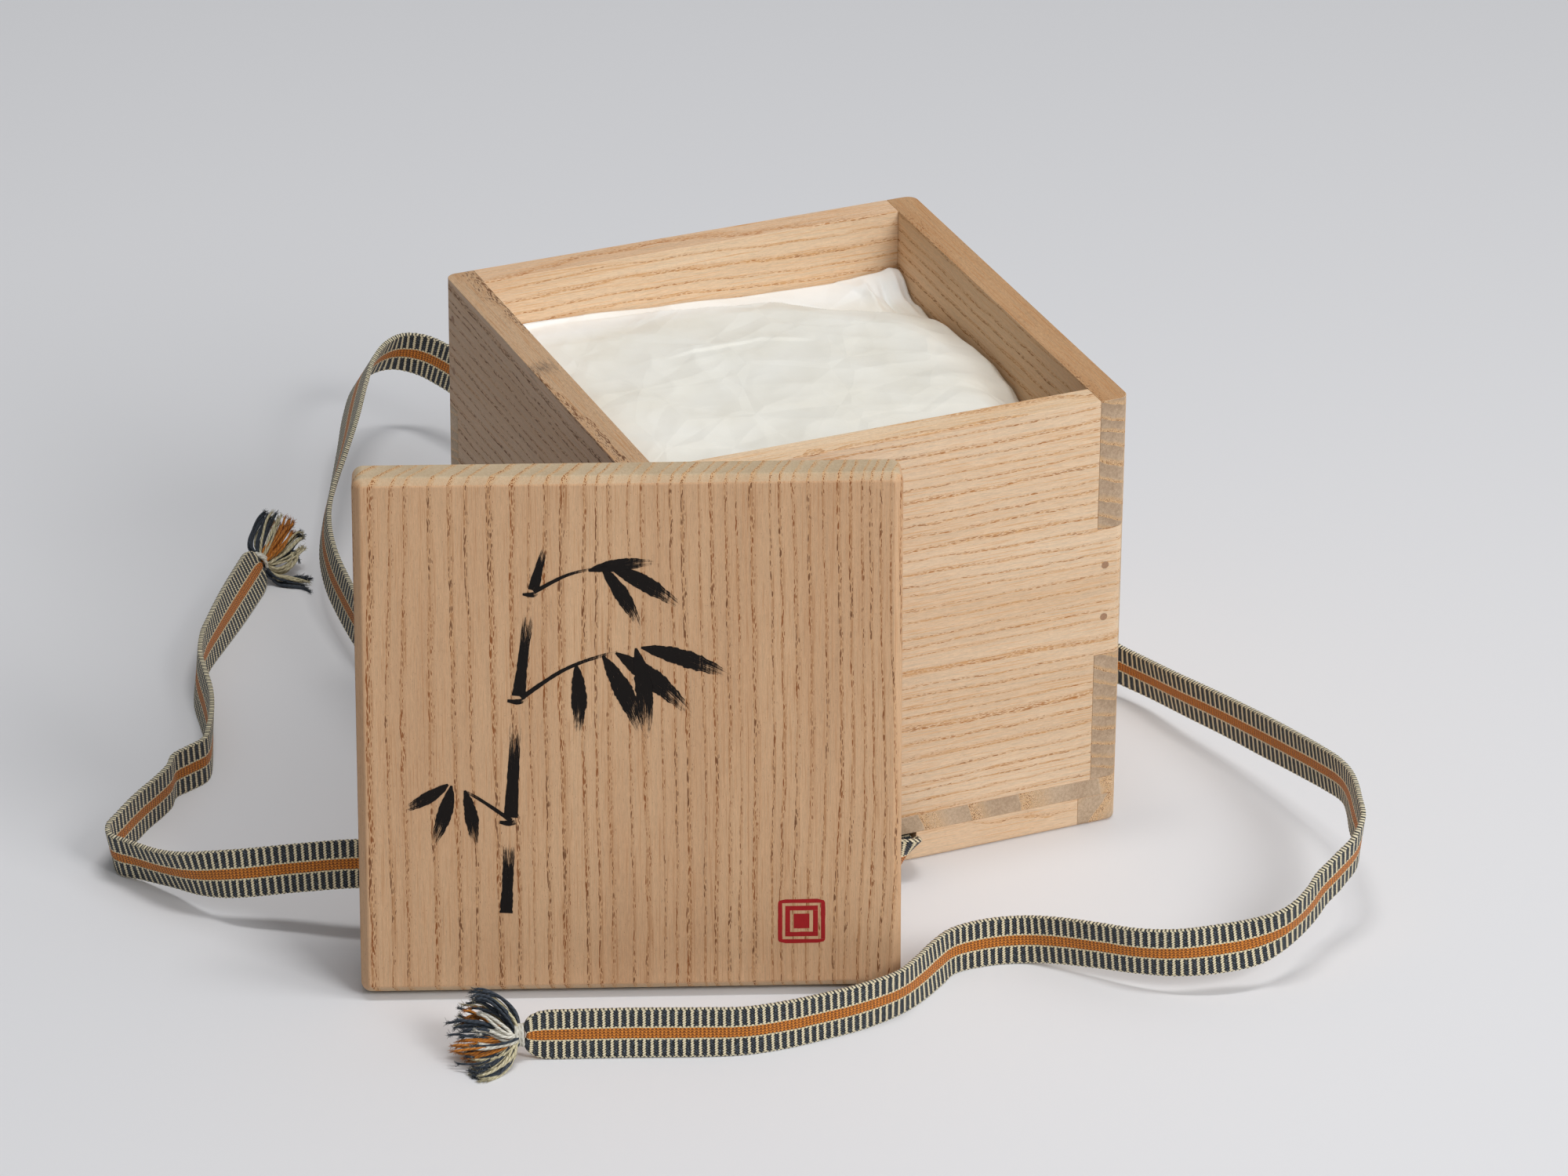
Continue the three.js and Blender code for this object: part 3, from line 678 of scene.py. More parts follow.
@dataclass(frozen=True)
class PaperFinish:
    """Thin white wrapping paper with a faint warm mottling, painted shade along fine pressed creases,
    and painted light: a paler, cooler strip behind the flap.
    """

    name: str = "wrapping_tissue"
    white: Colour = srgb(239, 237, 228)
    warm: Colour = srgb(228, 223, 208)
    cool_painted_light: Colour = srgb(244, 247, 246)
    flap: tuple[float, float] = (0.086, 0.1)

    def make(self) -> Material:
        """Builds the paper's material.

        Returns:
            The material.
        """
        finish = Finish(self.name, 0.62)
        coordinates = finish.where()
        cloud = finish.cloud(coordinates, (38.0, 38.0, 38.0), 3.0, 0.55)
        pulp = finish.cloud(coordinates, (900.0, 900.0, 900.0), 3.0, 0.65)
        soft = finish.cloud(coordinates, (95.0, 70.0, 95.0), 2.0, 0.5)
        # Painted shade: faint darker lines along fine creases.
        fold = abs(soft - 0.5).step(0.035, 0.0) * cloud.step(0.46, 0.6)
        # Painted light: the strip behind the flap is paler and cooler, as it is lit there.
        behind = finish.parts(coordinates)[1].step(*self.flap) * 0.9
        colour = finish.mix((cloud * 1.5 - 0.45).within(), self.white, self.warm)
        colour = finish.mix(behind, colour, self.cool_painted_light)
        colour = finish.mix(fold * 0.06, colour, srgb(214, 206, 190))
        finish.show("Base Color", colour)
        finish.show("Roughness", (pulp * 0.15 + 0.52).within())
        finish.relief(pulp * 0.12 + cloud * 0.8 + self._facets(finish, coordinates) * 7.0, 0.0006, 0.4)
        return finish.material

    @staticmethod
    def _facets(finish: Finish, coordinates: Socket) -> Value:
        """Soft flat facets that meet in straight creases."""
        shaken = finish.noise(coordinates, (20.0, 20.0, 20.0)).outputs[1]
        return finish.cells(coordinates, shaken, 0.012, 42.0, "F2")


@dataclass(frozen=True)
class InkFinish:
    """Black brush ink, worn thin where the brush ran dry.

    The stroke's UV map gives the share along it and the share across it, from -1 to 1.
    """

    name: str
    colour: Colour
    dry_from: float
    grit: Point = (2.2, 16.0, 1.0)

    def make(self) -> Material:
        """Builds the ink's material.

        Returns:
            The material.
        """
        finish = Finish(self.name, 0.62)
        finish.show("Specular IOR Level", 0.15)
        plane = finish.weave()
        along, across, _ = finish.parts(plane)
        coordinates = finish.where()
        hair = finish.cloud(plane, self.grit, 3.0, 0.7)
        wood = finish.cloud(coordinates, (1300.0, 1300.0, 240.0), 3.0, 0.7)
        dry = along.step(self.dry_from, self.dry_from + 0.7)
        bare = (hair * 0.85 + wood * 0.4 - 0.1 + dry * 0.4).step(0.66, 0.76)
        edge = (abs(across) + (wood - 0.5) * 0.25).step(1.0, 0.92)
        colour = finish.mix((wood * 0.4).within(), self.colour, srgb(38, 30, 26))
        finish.show("Base Color", colour)
        finish.show("Alpha", (edge * (1.0 - bare) * 0.97).within())
        return finish.material


# Modelling steps


class Bench:
    """Modelling steps, each done with Blender's own operators."""

    @staticmethod
    def clear() -> None:
        """Leaves nothing selected."""
        if bpy.context.mode != "OBJECT":
            bpy.ops.object.mode_set(mode="OBJECT")
        bpy.ops.object.select_all(action="DESELECT")

    @staticmethod
    def take(piece: Piece) -> None:
        """Selects one piece alone."""
        Bench.clear()
        piece.select_set(True)
        bpy.context.view_layer.objects.active = piece

    @staticmethod
    def edit(piece: Piece) -> None:
        """Opens one piece alone in edit mode."""
        Bench.take(piece)
        bpy.ops.object.mode_set(mode="EDIT")

    @staticmethod
    def settle(piece: Piece) -> None:
        """Moves a piece's place into its mesh, so that its object is at the origin and unturned."""
        bpy.context.view_layer.update()
        piece.data.transform(piece.matrix_world.copy())
        piece.matrix_world = Matrix.Identity(4)

    @staticmethod
    def block(name: str, low: Sequence[float], high: Sequence[float]) -> Piece:
        """A box between two corners, ready to be shaped.

        Args:
            name: The piece's name.
            low: Its lowest corner.
            high: Its highest corner.

        Returns:
            The piece.
        """
        Bench.clear()
        middle = [(a + b) / 2 for a, b in zip(low, high)]
        bpy.ops.mesh.primitive_cube_add(size=1.0, location=middle)
        piece = bpy.context.active_object
        piece.name = name
        piece.scale = [b - a for a, b in zip(low, high)]
        Bench.settle(piece)
        return piece

    @staticmethod
    def pick(kind: str, test: Callable[[object], bool]) -> None:
        """Selects the edges or faces of the piece in edit mode that pass a test.

        Args:
            kind: "EDGE" or "FACE".
            test: Whether an edge or face is wanted.
        """
        bpy.ops.mesh.select_mode(type=kind)
        bpy.ops.mesh.select_all(action="DESELECT")
        mesh = bmesh.from_edit_mesh(bpy.context.edit_object.data)
        for item in mesh.faces if kind == "FACE" else mesh.edges:
            item.select_set(bool(test(item)))
        mesh.select_flush_mode()
        bmesh.update_edit_mesh(bpy.context.edit_object.data)

    @staticmethod
    def cut(piece: Piece, planes: Sequence[tuple[Sequence[float], Sequence[float]]]) -> None:
        """Divides a piece's faces along planes, and leaves it in edit mode.

        Args:
            piece: The piece.
            planes: A point and a normal for each plane.
        """
        Bench.edit(piece)
        for point, normal in planes:
            bpy.ops.mesh.select_all(action="SELECT")
            bpy.ops.mesh.bisect(plane_co=point, plane_no=normal)

    @staticmethod
    def push(test: Callable[[object], bool], move: Sequence[float]) -> None:
        """Extrudes the faces that pass a test.

        Args:
            test: Whether a face is wanted.
            move: How far and which way.
        """
        Bench.pick("FACE", test)
        bpy.ops.mesh.extrude_region_move(TRANSFORM_OT_translate={"value": tuple(move)})

    @staticmethod
    def round_edges(test: Callable[[object], bool], width: float, segments: int) -> None:
        """Rounds the edges that pass a test.

        Args:
            test: Whether an edge is wanted.
            width: How far the rounding reaches.
            segments: How many faces it has.
        """
        Bench.pick("EDGE", test)
        bpy.ops.mesh.bevel(offset=width, segments=segments, profile=0.5, affect="EDGES")

    @staticmethod
    def finish_edges(piece: Piece, width: float, segments: int = 2) -> None:
        """Leaves edit mode, eases every edge that is still sharp, and keeps flat faces flat.

        Args:
            piece: The piece.
            width: How far the easing reaches.
            segments: How many faces it has.
        """
        Bench.take(piece)
        bpy.ops.object.modifier_add(type="BEVEL")
        bevel = piece.modifiers[-1]
        bevel.width = width
        bevel.segments = segments
        bevel.limit_method = "ANGLE"
        bevel.angle_limit = math.radians(40)
        bpy.ops.object.modifier_apply(modifier=bevel.name)
        bpy.ops.object.shade_smooth_by_angle(angle=math.radians(50))
        bpy.ops.object.modifier_add(type="WEIGHTED_NORMAL")
        even = piece.modifiers[-1]
        even.weight = 100
        even.keep_sharp = True
        bpy.ops.object.modifier_apply(modifier=even.name)

    @staticmethod
    def copy(piece: Piece, name: str, place: Matrix) -> Piece:
        """A copy of a piece with its own mesh, moved in its mesh.

        Args:
            piece: The piece.
            name: The copy's name.
            place: How the copy is moved.

        Returns:
            The copy.
        """
        twin = piece.copy()
        twin.data = piece.data.copy()
        twin.name = name
        bpy.context.scene.collection.objects.link(twin)
        twin.data.transform(place)
        return twin

    @staticmethod
    def mesh(
        name: str,
        points: Sequence[Sequence[float]],
        faces: Sequence[Sequence[int]],
        plane: Sequence[tuple[float, float]] | None = None,
    ) -> Piece:
        """A piece straight from its points, as cords and cloth are made.

        Args:
            name: The piece's name.
            points: Its points.
            faces: Its faces, each by its points' numbers.
            plane: Each point's place on the UV map.

        Returns:
            The piece, smoothly shaded.
        """
        data = bpy.data.meshes.new(name)
        data.from_pydata([tuple(p) for p in points], [], [tuple(f) for f in faces])
        if plane is not None:
            layer = data.uv_layers.new(name="Weave")
            layer.data.foreach_set("uv", [value for face in faces for i in face for value in plane[i]])
        data.polygons.foreach_set("use_smooth", [True] * len(data.polygons))
        data.update()
        piece = bpy.data.objects.new(name, data)
        bpy.context.scene.collection.objects.link(piece)
        return piece


def dress(
    piece: Piece, body: str, material: Material, nodes: Sequence[str] = ()
) -> None:
    """Gives a piece its finish and its body, and hides the CAD nodes that it stands for.

    Args:
        piece: The piece.
        body: The body that it rides on.
        material: Its material.
        nodes: The CAD nodes that it replaces.
    """
    piece.data.materials.clear()
    piece.data.materials.append(material)
    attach(piece, body)
    if nodes:
        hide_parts(*nodes)
    log.info("%s: %d faces on %s", piece.name, len(piece.data.polygons), body)


def net(rows: int, count: int, first: int = 0, closed: bool = True) -> list[list[int]]:
    """Faces between rows of points.

    Args:
        rows: How many rows there are.
        count: How many points a row has.
        first: The first point's number.
        closed: Whether each row is a ring.

    Returns:
        The faces, each by its points' numbers.
    """
    faces = []
    for row in range(rows - 1):
        for index in range(count if closed else count - 1):
            a = first + row * count + index
            b = first + row * count + (index + 1) % count
            faces.append([a, b, b + count, a + count])
    return faces


def beside(row: Sequence, number: int) -> tuple:
    """The items before and after one in a row, which at the row's ends are the item itself."""
    return row[max(number - 1, 0)], row[min(number + 1, len(row) - 1)]


# The box


@dataclass
class BoxSizes:
    """The sizes that the boards, the feet and the lid share, and the place of the box."""

    middle: Vector
    width: float = 0.165
    depth: float = 0.165
    wall: float = 0.0098
    foot: float = 0.010
    base: float = 0.0062
    sides: float = 0.1338
    foot_width: float = 0.014
    corner: float = 0.0035
    joint_ease: float = 0.00022

    @property
    def floor(self) -> float:
        """The height at which the walls start."""
        return self.foot + self.base

    @property
    def rim(self) -> float:
        """The height of the walls' upper edge."""
        return self.floor + self.sides

    def at(self, x: float, y: float, z: float) -> Vector:
        """A point given from the box's middle on its resting surface."""
        return Vector((self.middle.x + x, self.middle.y + y, z))


@dataclass(frozen=True)
class Wall:
    """One wall board.

    side is -1 at the front or left and 1 at the back or right, and looks holds what else makes
    the board's finish its own, by the names of its fields.
    """

    name: str
    grain: Grain
    side: int
    timber: Timber
    heart_mm: tuple[float, float]
    ring_mm: float
    drift: float
    looks: dict[str, object]


@dataclass
class Carcass:
    """The four pegged boards, the base board and the feet."""

    sizes: BoxSizes
    pale: Timber = field(default_factory=Timber)
    deep: Timber = Timber(
        pale=srgb(225, 192, 155), warm=srgb(208, 171, 131), line=srgb(198, 150, 102),
        pore=srgb(164, 108, 60), pore_dark=srgb(132, 88, 54), halo=srgb(232, 200, 162),
        end_pale=srgb(203, 177, 149), end_deep=srgb(168, 142, 116),
    )
    slot_width: float = 0.024
    slot_height: float = 0.0045
    foot_round: float = 0.0014
    peg_radius: float = 0.0014
    peg_inset: float = 0.00686
    peg_length: float = 0.0208
    peg_shares: tuple[float, float] = (0.3, 0.71)

    def build(self) -> None:
        """Builds and dresses every piece of the box itself."""
        dark = replace(self.deep, pore=srgb(122, 80, 52), pore_dark=srgb(98, 64, 44))
        stain = (tuple(self.sizes.at(-0.0786, 0.0056, self.sizes.rim)), 0.0062)
        # Painted shade: each board's rim is darkened where it faces up, and the left board is darkened and
        # cooled all over, as a side away from the lights.
        front = {"rim_pores": 0.25, "rim_painted_shade": (0.96, 0.96, 0.94)}
        back = {"rim_pores": 0.25, "rim_painted_shade": (0.92, 0.86, 0.82), "figure": 0.86}
        right = {"rim_pores": 0.4, "rim_painted_shade": (0.78, 0.69, 0.59), "early_share": 0.4}
        left = {
            **right, "rim_painted_shade": (0.88, 0.84, 0.76), "pore_size": 1.04, "stain": stain,
            "board_painted_shade": (0.89, 0.91, 1.0),
        }
        for wall in (
            Wall("front_board", Grain.ACROSS, -1, self.pale, (60.0, -260.0), 4.1, 0.37, front),
            Wall("back_board", Grain.ACROSS, 1, self.pale, (-70.0, -290.0), 4.3, 5.13, back),
            Wall("left_board", Grain.DEEP, -1, dark, (-85.0, -250.0), 3.9, 2.61, left),
            Wall("right_board", Grain.DEEP, 1, self.deep, (87.0, -287.0), 5.2, 8.27, right),
        ):
            self._wall(wall)
        self._base()
        self._feet()
        self._pegs()

    def _is_corner(self, edge: Edge) -> bool:
        """Whether an upright edge is at a corner of the box's plan.

        Args:
            edge: The edge.

        Returns:
            Whether it is.
        """
        a, b = (vert.co for vert in edge.verts)
        upright = abs(a.x - b.x) < SAME_PLACE and abs(a.y - b.y) < SAME_PLACE
        far_x = abs(abs(a.x - self.sizes.middle.x) - self.sizes.width / 2) < ON_FACE
        far_y = abs(abs(a.y - self.sizes.middle.y) - self.sizes.depth / 2) < ON_FACE
        return upright and far_x and far_y

    def _wall(self, wall: Wall) -> None:
        """One wall board, with its own fingers pushed out at both ends.

        The front and back boards have the middle finger, and the side boards the low and high ones.

        Args:
            wall: Which board it is.
        """
        s = self.sizes
        is_end = wall.grain is Grain.ACROSS
        length, spread = (s.width, s.depth) if is_end else (s.depth, s.width)
        third = s.sides / 3
        low, high = s.floor + third, s.floor + 2 * third
        faces = sorted((wall.side * spread / 2, wall.side * (spread / 2 - s.wall)))

        def spot(along: float, off: float, height: float) -> Vector:
            """A place along the wall, off the box's middle and up."""
            return s.at(along, off, height) if is_end else s.at(off, along, height)

        inner = length / 2 - s.wall
        ends = (spot(-inner, faces[0], s.floor), spot(inner, faces[1], s.rim))
        board = Bench.block(wall.name + "_wood", *ends)
        Bench.cut(board, [(s.at(0, 0, height), (0.0, 0.0, 1.0)) for height in (low, high)])
        for end in (-1.0, 1.0):
            way = Vector((end, 0.0, 0.0)) if is_end else Vector((0.0, end, 0.0))

            def is_finger(face: Face, way: Vector = way) -> bool:
                """Whether a face is at this end and at the height of one of the board's fingers."""
                in_middle = low < face.calc_center_median().z < high
                return face.normal.dot(way) > SQUARE_ON and in_middle == is_end

            Bench.push(is_finger, way * s.wall)
        Bench.round_edges(self._is_corner, s.corner, CORNER_STEPS)
        Bench.finish_edges(board, s.joint_ease)
        middle = spot(0, (faces[0] + faces[1]) / 2, (s.floor + s.rim) / 2)
        finish = BoardFinish(
            wall.name + "_paulownia", wall.timber, wall.grain, middle, wall.heart_mm, wall.ring_mm,
            wall.drift, **wall.looks,
        )
        dress(board, "box", finish.make(), [wall.name])

    def _base(self) -> None:
        """The base board, whose front and back edges show wide rings."""
        s = self.sizes
        low, high = s.at(-s.width / 2, -s.depth / 2, s.foot), s.at(s.width / 2, s.depth / 2, s.floor)
        board = Bench.block("base_board_wood", low, high)
        Bench.edit(board)
        Bench.round_edges(self._is_corner, s.corner, CORNER_STEPS)
        Bench.finish_edges(board, s.joint_ease)
        middle = s.at(0, 0, (s.foot + s.floor) / 2)
        finish = BoardFinish(
            "base_board_paulownia", self.pale, Grain.DEEP, middle, (70.0, -39.0), 19.0, 3.3,
            early_share=0.55, wander_mm=0.5, pore_scale=(0.4, 2.5, 2.5),
        )
        dress(board, "box", finish.make(), ["base_board"])

    def _feet(self) -> None:
        """The four feet, each with the ribbon's slot in the middle of its upper face."""
        s = self.sizes
        half_x, half_y = s.width / 2, s.depth / 2
        in_x, in_y = half_x - s.foot_width, half_y - s.foot_width
        plans = {
            "left_foot": (-half_x, -half_y, -in_x, half_y, Grain.DEEP, (-60.0, -40.0), 11.0, 1.7),
            "right_foot": (in_x, -half_y, half_x, half_y, Grain.DEEP, (68.0, 42.0), 13.0, 6.9),
            "front_foot": (-in_x, -half_y, in_x, -in_y, Grain.ACROSS, (34.0, -9.0), 3.4, 4.4),
            "back_foot": (-in_x, in_y, in_x, half_y, Grain.ACROSS, (-28.0, -12.0), 3.4, 9.2),
        }
        half = self.slot_width / 2
        for name, (x0, y0, x1, y1, grain, heart, ring, drift) in plans.items():
            foot = Bench.block(name + "_wood", s.at(x0, y0, 0.0), s.at(x1, y1, s.foot - self.slot_height))
            deep = grain is Grain.DEEP
            normal = (0.0, 1.0, 0.0) if deep else (1.0, 0.0, 0.0)
            Bench.cut(foot, [(s.at(side * half, side * half, 0), normal) for side in (-1, 1)])

            def beside_slot(face: Face, deep: bool = deep) -> bool:
                """Whether an upper face is outside the slot."""
                centre = face.calc_center_median() - Vector((s.middle.x, s.middle.y, 0.0))
                return face.normal.z > SQUARE_ON and abs(centre.y if deep else centre.x) > half

            Bench.push(beside_slot, (0.0, 0.0, self.slot_height))
            Bench.round_edges(self._is_corner, s.corner, CORNER_STEPS)
            Bench.round_edges(self._is_ground_edge, self.foot_round, 3)
            Bench.finish_edges(foot, s.joint_ease)
            middle = s.at((x0 + x1) / 2, (y0 + y1) / 2, s.foot / 2)
            finish = BoardFinish(
                name + "_paulownia", self.pale, grain, middle, heart, ring, drift,
                early_share=0.6 if deep else 0.36, figure=1.0 if deep else 0.75,
            )
            dress(foot, "box", finish.make(), [name])

    def _is_ground_edge(self, edge: Edge) -> bool:
        """Whether an edge is on the resting surface and on the box's outer outline.

        Args:
            edge: The edge.

        Returns:
            Whether it is.
        """
        s = self.sizes
        if max(v.co.z for v in edge.verts) > SAME_PLACE:
            return False
        off_x = max(abs(abs(v.co.x - s.middle.x) - s.width / 2) for v in edge.verts)
        off_y = max(abs(abs(v.co.y - s.middle.y) - s.depth / 2) for v in edge.verts)
        return min(off_x, off_y) < ON_FACE or max(off_x, off_y) < s.corner + ON_FACE

    def _pegs(self) -> None:
        """Every corner peg, a copy of one peg with a faintly domed head."""
        s = self.sizes
        model = peg_model("corner_peg_model", self.peg_radius, self.peg_length)
        material = PegFinish().make()
        rows = list(enumerate(("low", "middle", "high")))
        shares = list(enumerate(self.peg_shares))
        for side_x, side_y, (finger, row), (index, share) in product((-1, 1), (-1, 1), rows, shares):
            height = s.floor + (finger + share) * s.sides / 3
            in_x, in_y = (self.peg_inset, 0.0) if row == "middle" else (0.0, self.peg_inset)
            place = s.at(side_x * (s.width / 2 - in_x), side_y * (s.depth / 2 - in_y), height)
            head = Vector((0.0, side_y, 0.0)) if row == "middle" else Vector((side_x, 0.0, 0.0))
            turn = Vector((0.0, 0.0, 1.0)).rotation_difference(head).to_matrix().to_4x4()
            corner = f"{'front' if side_y < 0 else 'back'}_{'left' if side_x < 0 else 'right'}"
            node = f"peg_{corner}_{row}_{index + 1}"
            peg = Bench.copy(model, node + "_wood", Matrix.Translation(place) @ turn)
            dress(peg, "box", material, [node])
        bpy.data.objects.remove(model)


def peg_model(name: str, radius: float, length: float) -> Piece:
    """A peg whose head is at the origin and faces up, with its distance from the axis kept.

    Args:
        name: The piece's name.
        radius: The peg's radius.
        length: The peg's length.

    Returns:
        The piece.
    """
    Bench.clear()
    bpy.ops.mesh.primitive_cylinder_add(
        vertices=24, radius=radius, depth=length, location=(0.0, 0.0, -length / 2)
    )
    peg = bpy.context.active_object
    peg.name = name
    Bench.settle(peg)
    Bench.edit(peg)
    Bench.pick("FACE", lambda f: f.normal.z > SQUARE_ON)
    bpy.ops.mesh.inset(thickness=radius * 0.14)
    for lift in (0.03, 0.02):
        bpy.ops.mesh.inset(thickness=radius * 0.3)
        bpy.ops.transform.translate(value=(0.0, 0.0, radius * lift))
    bpy.ops.mesh.poke()
    Bench.finish_edges(peg, radius * 0.05, 1)
    rim = peg.data.attributes.new("rim", "FLOAT", "POINT")
    rim.data.foreach_set("value", [math.hypot(v.co.x, v.co.y) / radius for v in peg.data.vertices])
    return peg


# The lid

QUARTER_TURN = Matrix(((0.0, -1.0, 0.0), (1.0, 0.0, 0.0), (0.0, 0.0, 1.0)))

@dataclass
class Lid:
    """The lid board, its battens and their pegs, leaned on the box's front left corner."""

    sizes: BoxSizes
    thickness: float = 0.0145
    corner: float = 0.0034
    face_chamfer: float = 0.0024
    back_ease: float = 0.0005
    batten_height: float = 0.012
    batten_width: float = 0.010
    batten_clearance: float = 0.0006
    batten_round: float = 0.001
    batten_ease: float = 0.0004
    gap: float = 0.0003
    peg_radius: float = 0.00125
    peg_shares: tuple[float, float] = (0.25, 0.75)
    yaw: float = math.radians(-20.8)
    lean: float = math.radians(8.6)
    shift: float = -0.0054
    worn: Timber = Timber(
        pale=srgb(217, 178, 139), warm=srgb(200, 158, 120), line=srgb(178, 130, 88),
        pore=srgb(146, 88, 46), pore_dark=srgb(116, 76, 48), halo=srgb(228, 186, 142),
        end_pale=srgb(206, 184, 152), end_deep=srgb(186, 163, 131), end_line=srgb(206, 164, 114),
        end_pore=srgb(140, 88, 44), pore_depth=0.96,
    )

    def place(self) -> Matrix:
        """Turns a point of the lid, X across it, Y up it and Z out of its face, into its place."""
        s = self.sizes
        outward = Vector((math.sin(self.yaw), -math.cos(self.yaw), 0.0))
        across = Vector((math.cos(self.yaw), math.sin(self.yaw), 0.0))
        reach = s.rim * math.tan(self.lean)
        reach += (self.batten_height + self.gap) / math.cos(self.lean) + self.gap
        foot = s.at(s.corner - s.width / 2, s.corner - s.depth / 2, 0.0)
        foot += outward * (s.corner + reach) + across * self.shift
        turn = Matrix.Rotation(self.yaw, 4, "Z") @ Matrix.Rotation(math.pi / 2 - self.lean, 4, "X")
        return Matrix.Translation(foot) @ turn

    def build(self) -> None:
        """Builds and dresses the board, the battens and the pegs."""
        self._board()
        self._battens()

    def _is_upright(self, edge: Edge) -> bool:
        """Whether an edge runs through the lid board's whole thickness."""
        return abs(edge.verts[0].co.z - edge.verts[1].co.z) > self.thickness * 0.9

    def _is_face_edge(self, edge: Edge) -> bool:
        """Whether an edge is on the outline of the lid board's face."""
        high = min(v.co.z for v in edge.verts) > self.thickness - SAME_PLACE
        return high and sum(f.normal.z > SQUARE_ON for f in edge.link_faces) == 1

    def _board(self) -> None:
        """The lid board: round corners, its face chamfered and every edge eased."""
        s = self.sizes
        half = s.width / 2
        board = Bench.block("lid_board_wood", (-half, 0.0, 0.0), (half, s.depth, self.thickness))
        Bench.edit(board)
        Bench.round_edges(self._is_upright, self.corner, 7)
        Bench.round_edges(self._is_face_edge, self.face_chamfer, 1)
        Bench.finish_edges(board, self.back_ease)
        place = self.place()
        board.data.transform(place)
        middle = place @ Vector((0.0, s.depth / 2, self.thickness / 2))
        finish = BoardFinish(
            "lid_board_paulownia", self.worn, Grain.ACROSS, middle, (250.0, -103.0), 4.3, 7.77,
            turn=place.to_3x3() @ QUARTER_TURN,
            early_share=0.42, crowd=2.1, wander_mm=0.7, pore_scale=(0.38, 2.5, 2.5), pore_size=0.96,
        )
        dress(board, "lid", finish.make(), ["lid_board"])

    def _battens(self) -> None:
        """The frame of battens on the lid's back, pegged to it."""
        s = self.sizes
        half_x = s.width / 2 - s.wall - self.batten_clearance
        half_y = s.depth / 2 - s.wall - self.batten_clearance
        rail = half_y - self.batten_width
        short = rail - self.gap
        plans = {
            "lid_batten_low": (-half_x, -half_y, half_x, -rail),
            "lid_batten_high": (-half_x, rail, half_x, half_y),
            "lid_batten_left": (-half_x, -short, self.batten_width - half_x, short),
            "lid_batten_right": (half_x - self.batten_width, -short, half_x, short),
        }
        place = self.place()
        up = s.depth / 2
        model = peg_model("batten_peg_model", self.peg_radius, self.batten_height + self.gap)
        pegs = PegFinish("batten_peg_end_grain").make()
        for number, (name, (x0, y0, x1, y1)) in enumerate(plans.items()):
            low = (x0, y0 + up, -self.gap - self.batten_height)
            high = (x1, y1 + up, -self.gap)
            batten = Bench.block(name + "_wood", low, high)
            Bench.edit(batten)

            def is_outer(edge: Edge, bottom: float = low[2]) -> bool:
                """Says whether an edge bounds the batten's outer face."""
                return max(v.co.z for v in edge.verts) < bottom + SAME_PLACE

            Bench.round_edges(is_outer, self.batten_round, 3)
            Bench.finish_edges(batten, self.batten_ease)
            batten.data.transform(place)
            runs_across = x1 - x0 > y1 - y0
            middle = place @ Vector(((x0 + x1) / 2, (y0 + y1) / 2 + up, (low[2] + high[2]) / 2))
            turn = place.to_3x3() if runs_across else place.to_3x3() @ QUARTER_TURN
            finish = BoardFinish(
                name + "_paulownia", self.worn, Grain.ACROSS, middle, (30.0, -60.0), 3.4, 11.3 + number,
                turn=turn,
            )
            dress(batten, "lid", finish.make(), [name])
            for index, share in enumerate(self.peg_shares):
                x = x0 + share * (x1 - x0) if runs_across else (x0 + x1) / 2
                y = (y0 + y1) / 2 if runs_across else y0 + share * (y1 - y0)
                spot = Matrix.Translation((x, y + up, low[2])) @ Matrix.Rotation(math.pi, 4, "X")
                node = f"{name}_peg_{index + 1}"
                peg = Bench.copy(model, node + "_wood", place @ spot)
                dress(peg, "lid", pegs, [node])
        bpy.data.objects.remove(model)


# The ribbon


@dataclass(frozen=True)
class Station:
    """One place on a ribbon: its middle, the way that it runs and the way to its upper edge."""

    at: Vector
    along: Vector
    edge: Vector
    run: float


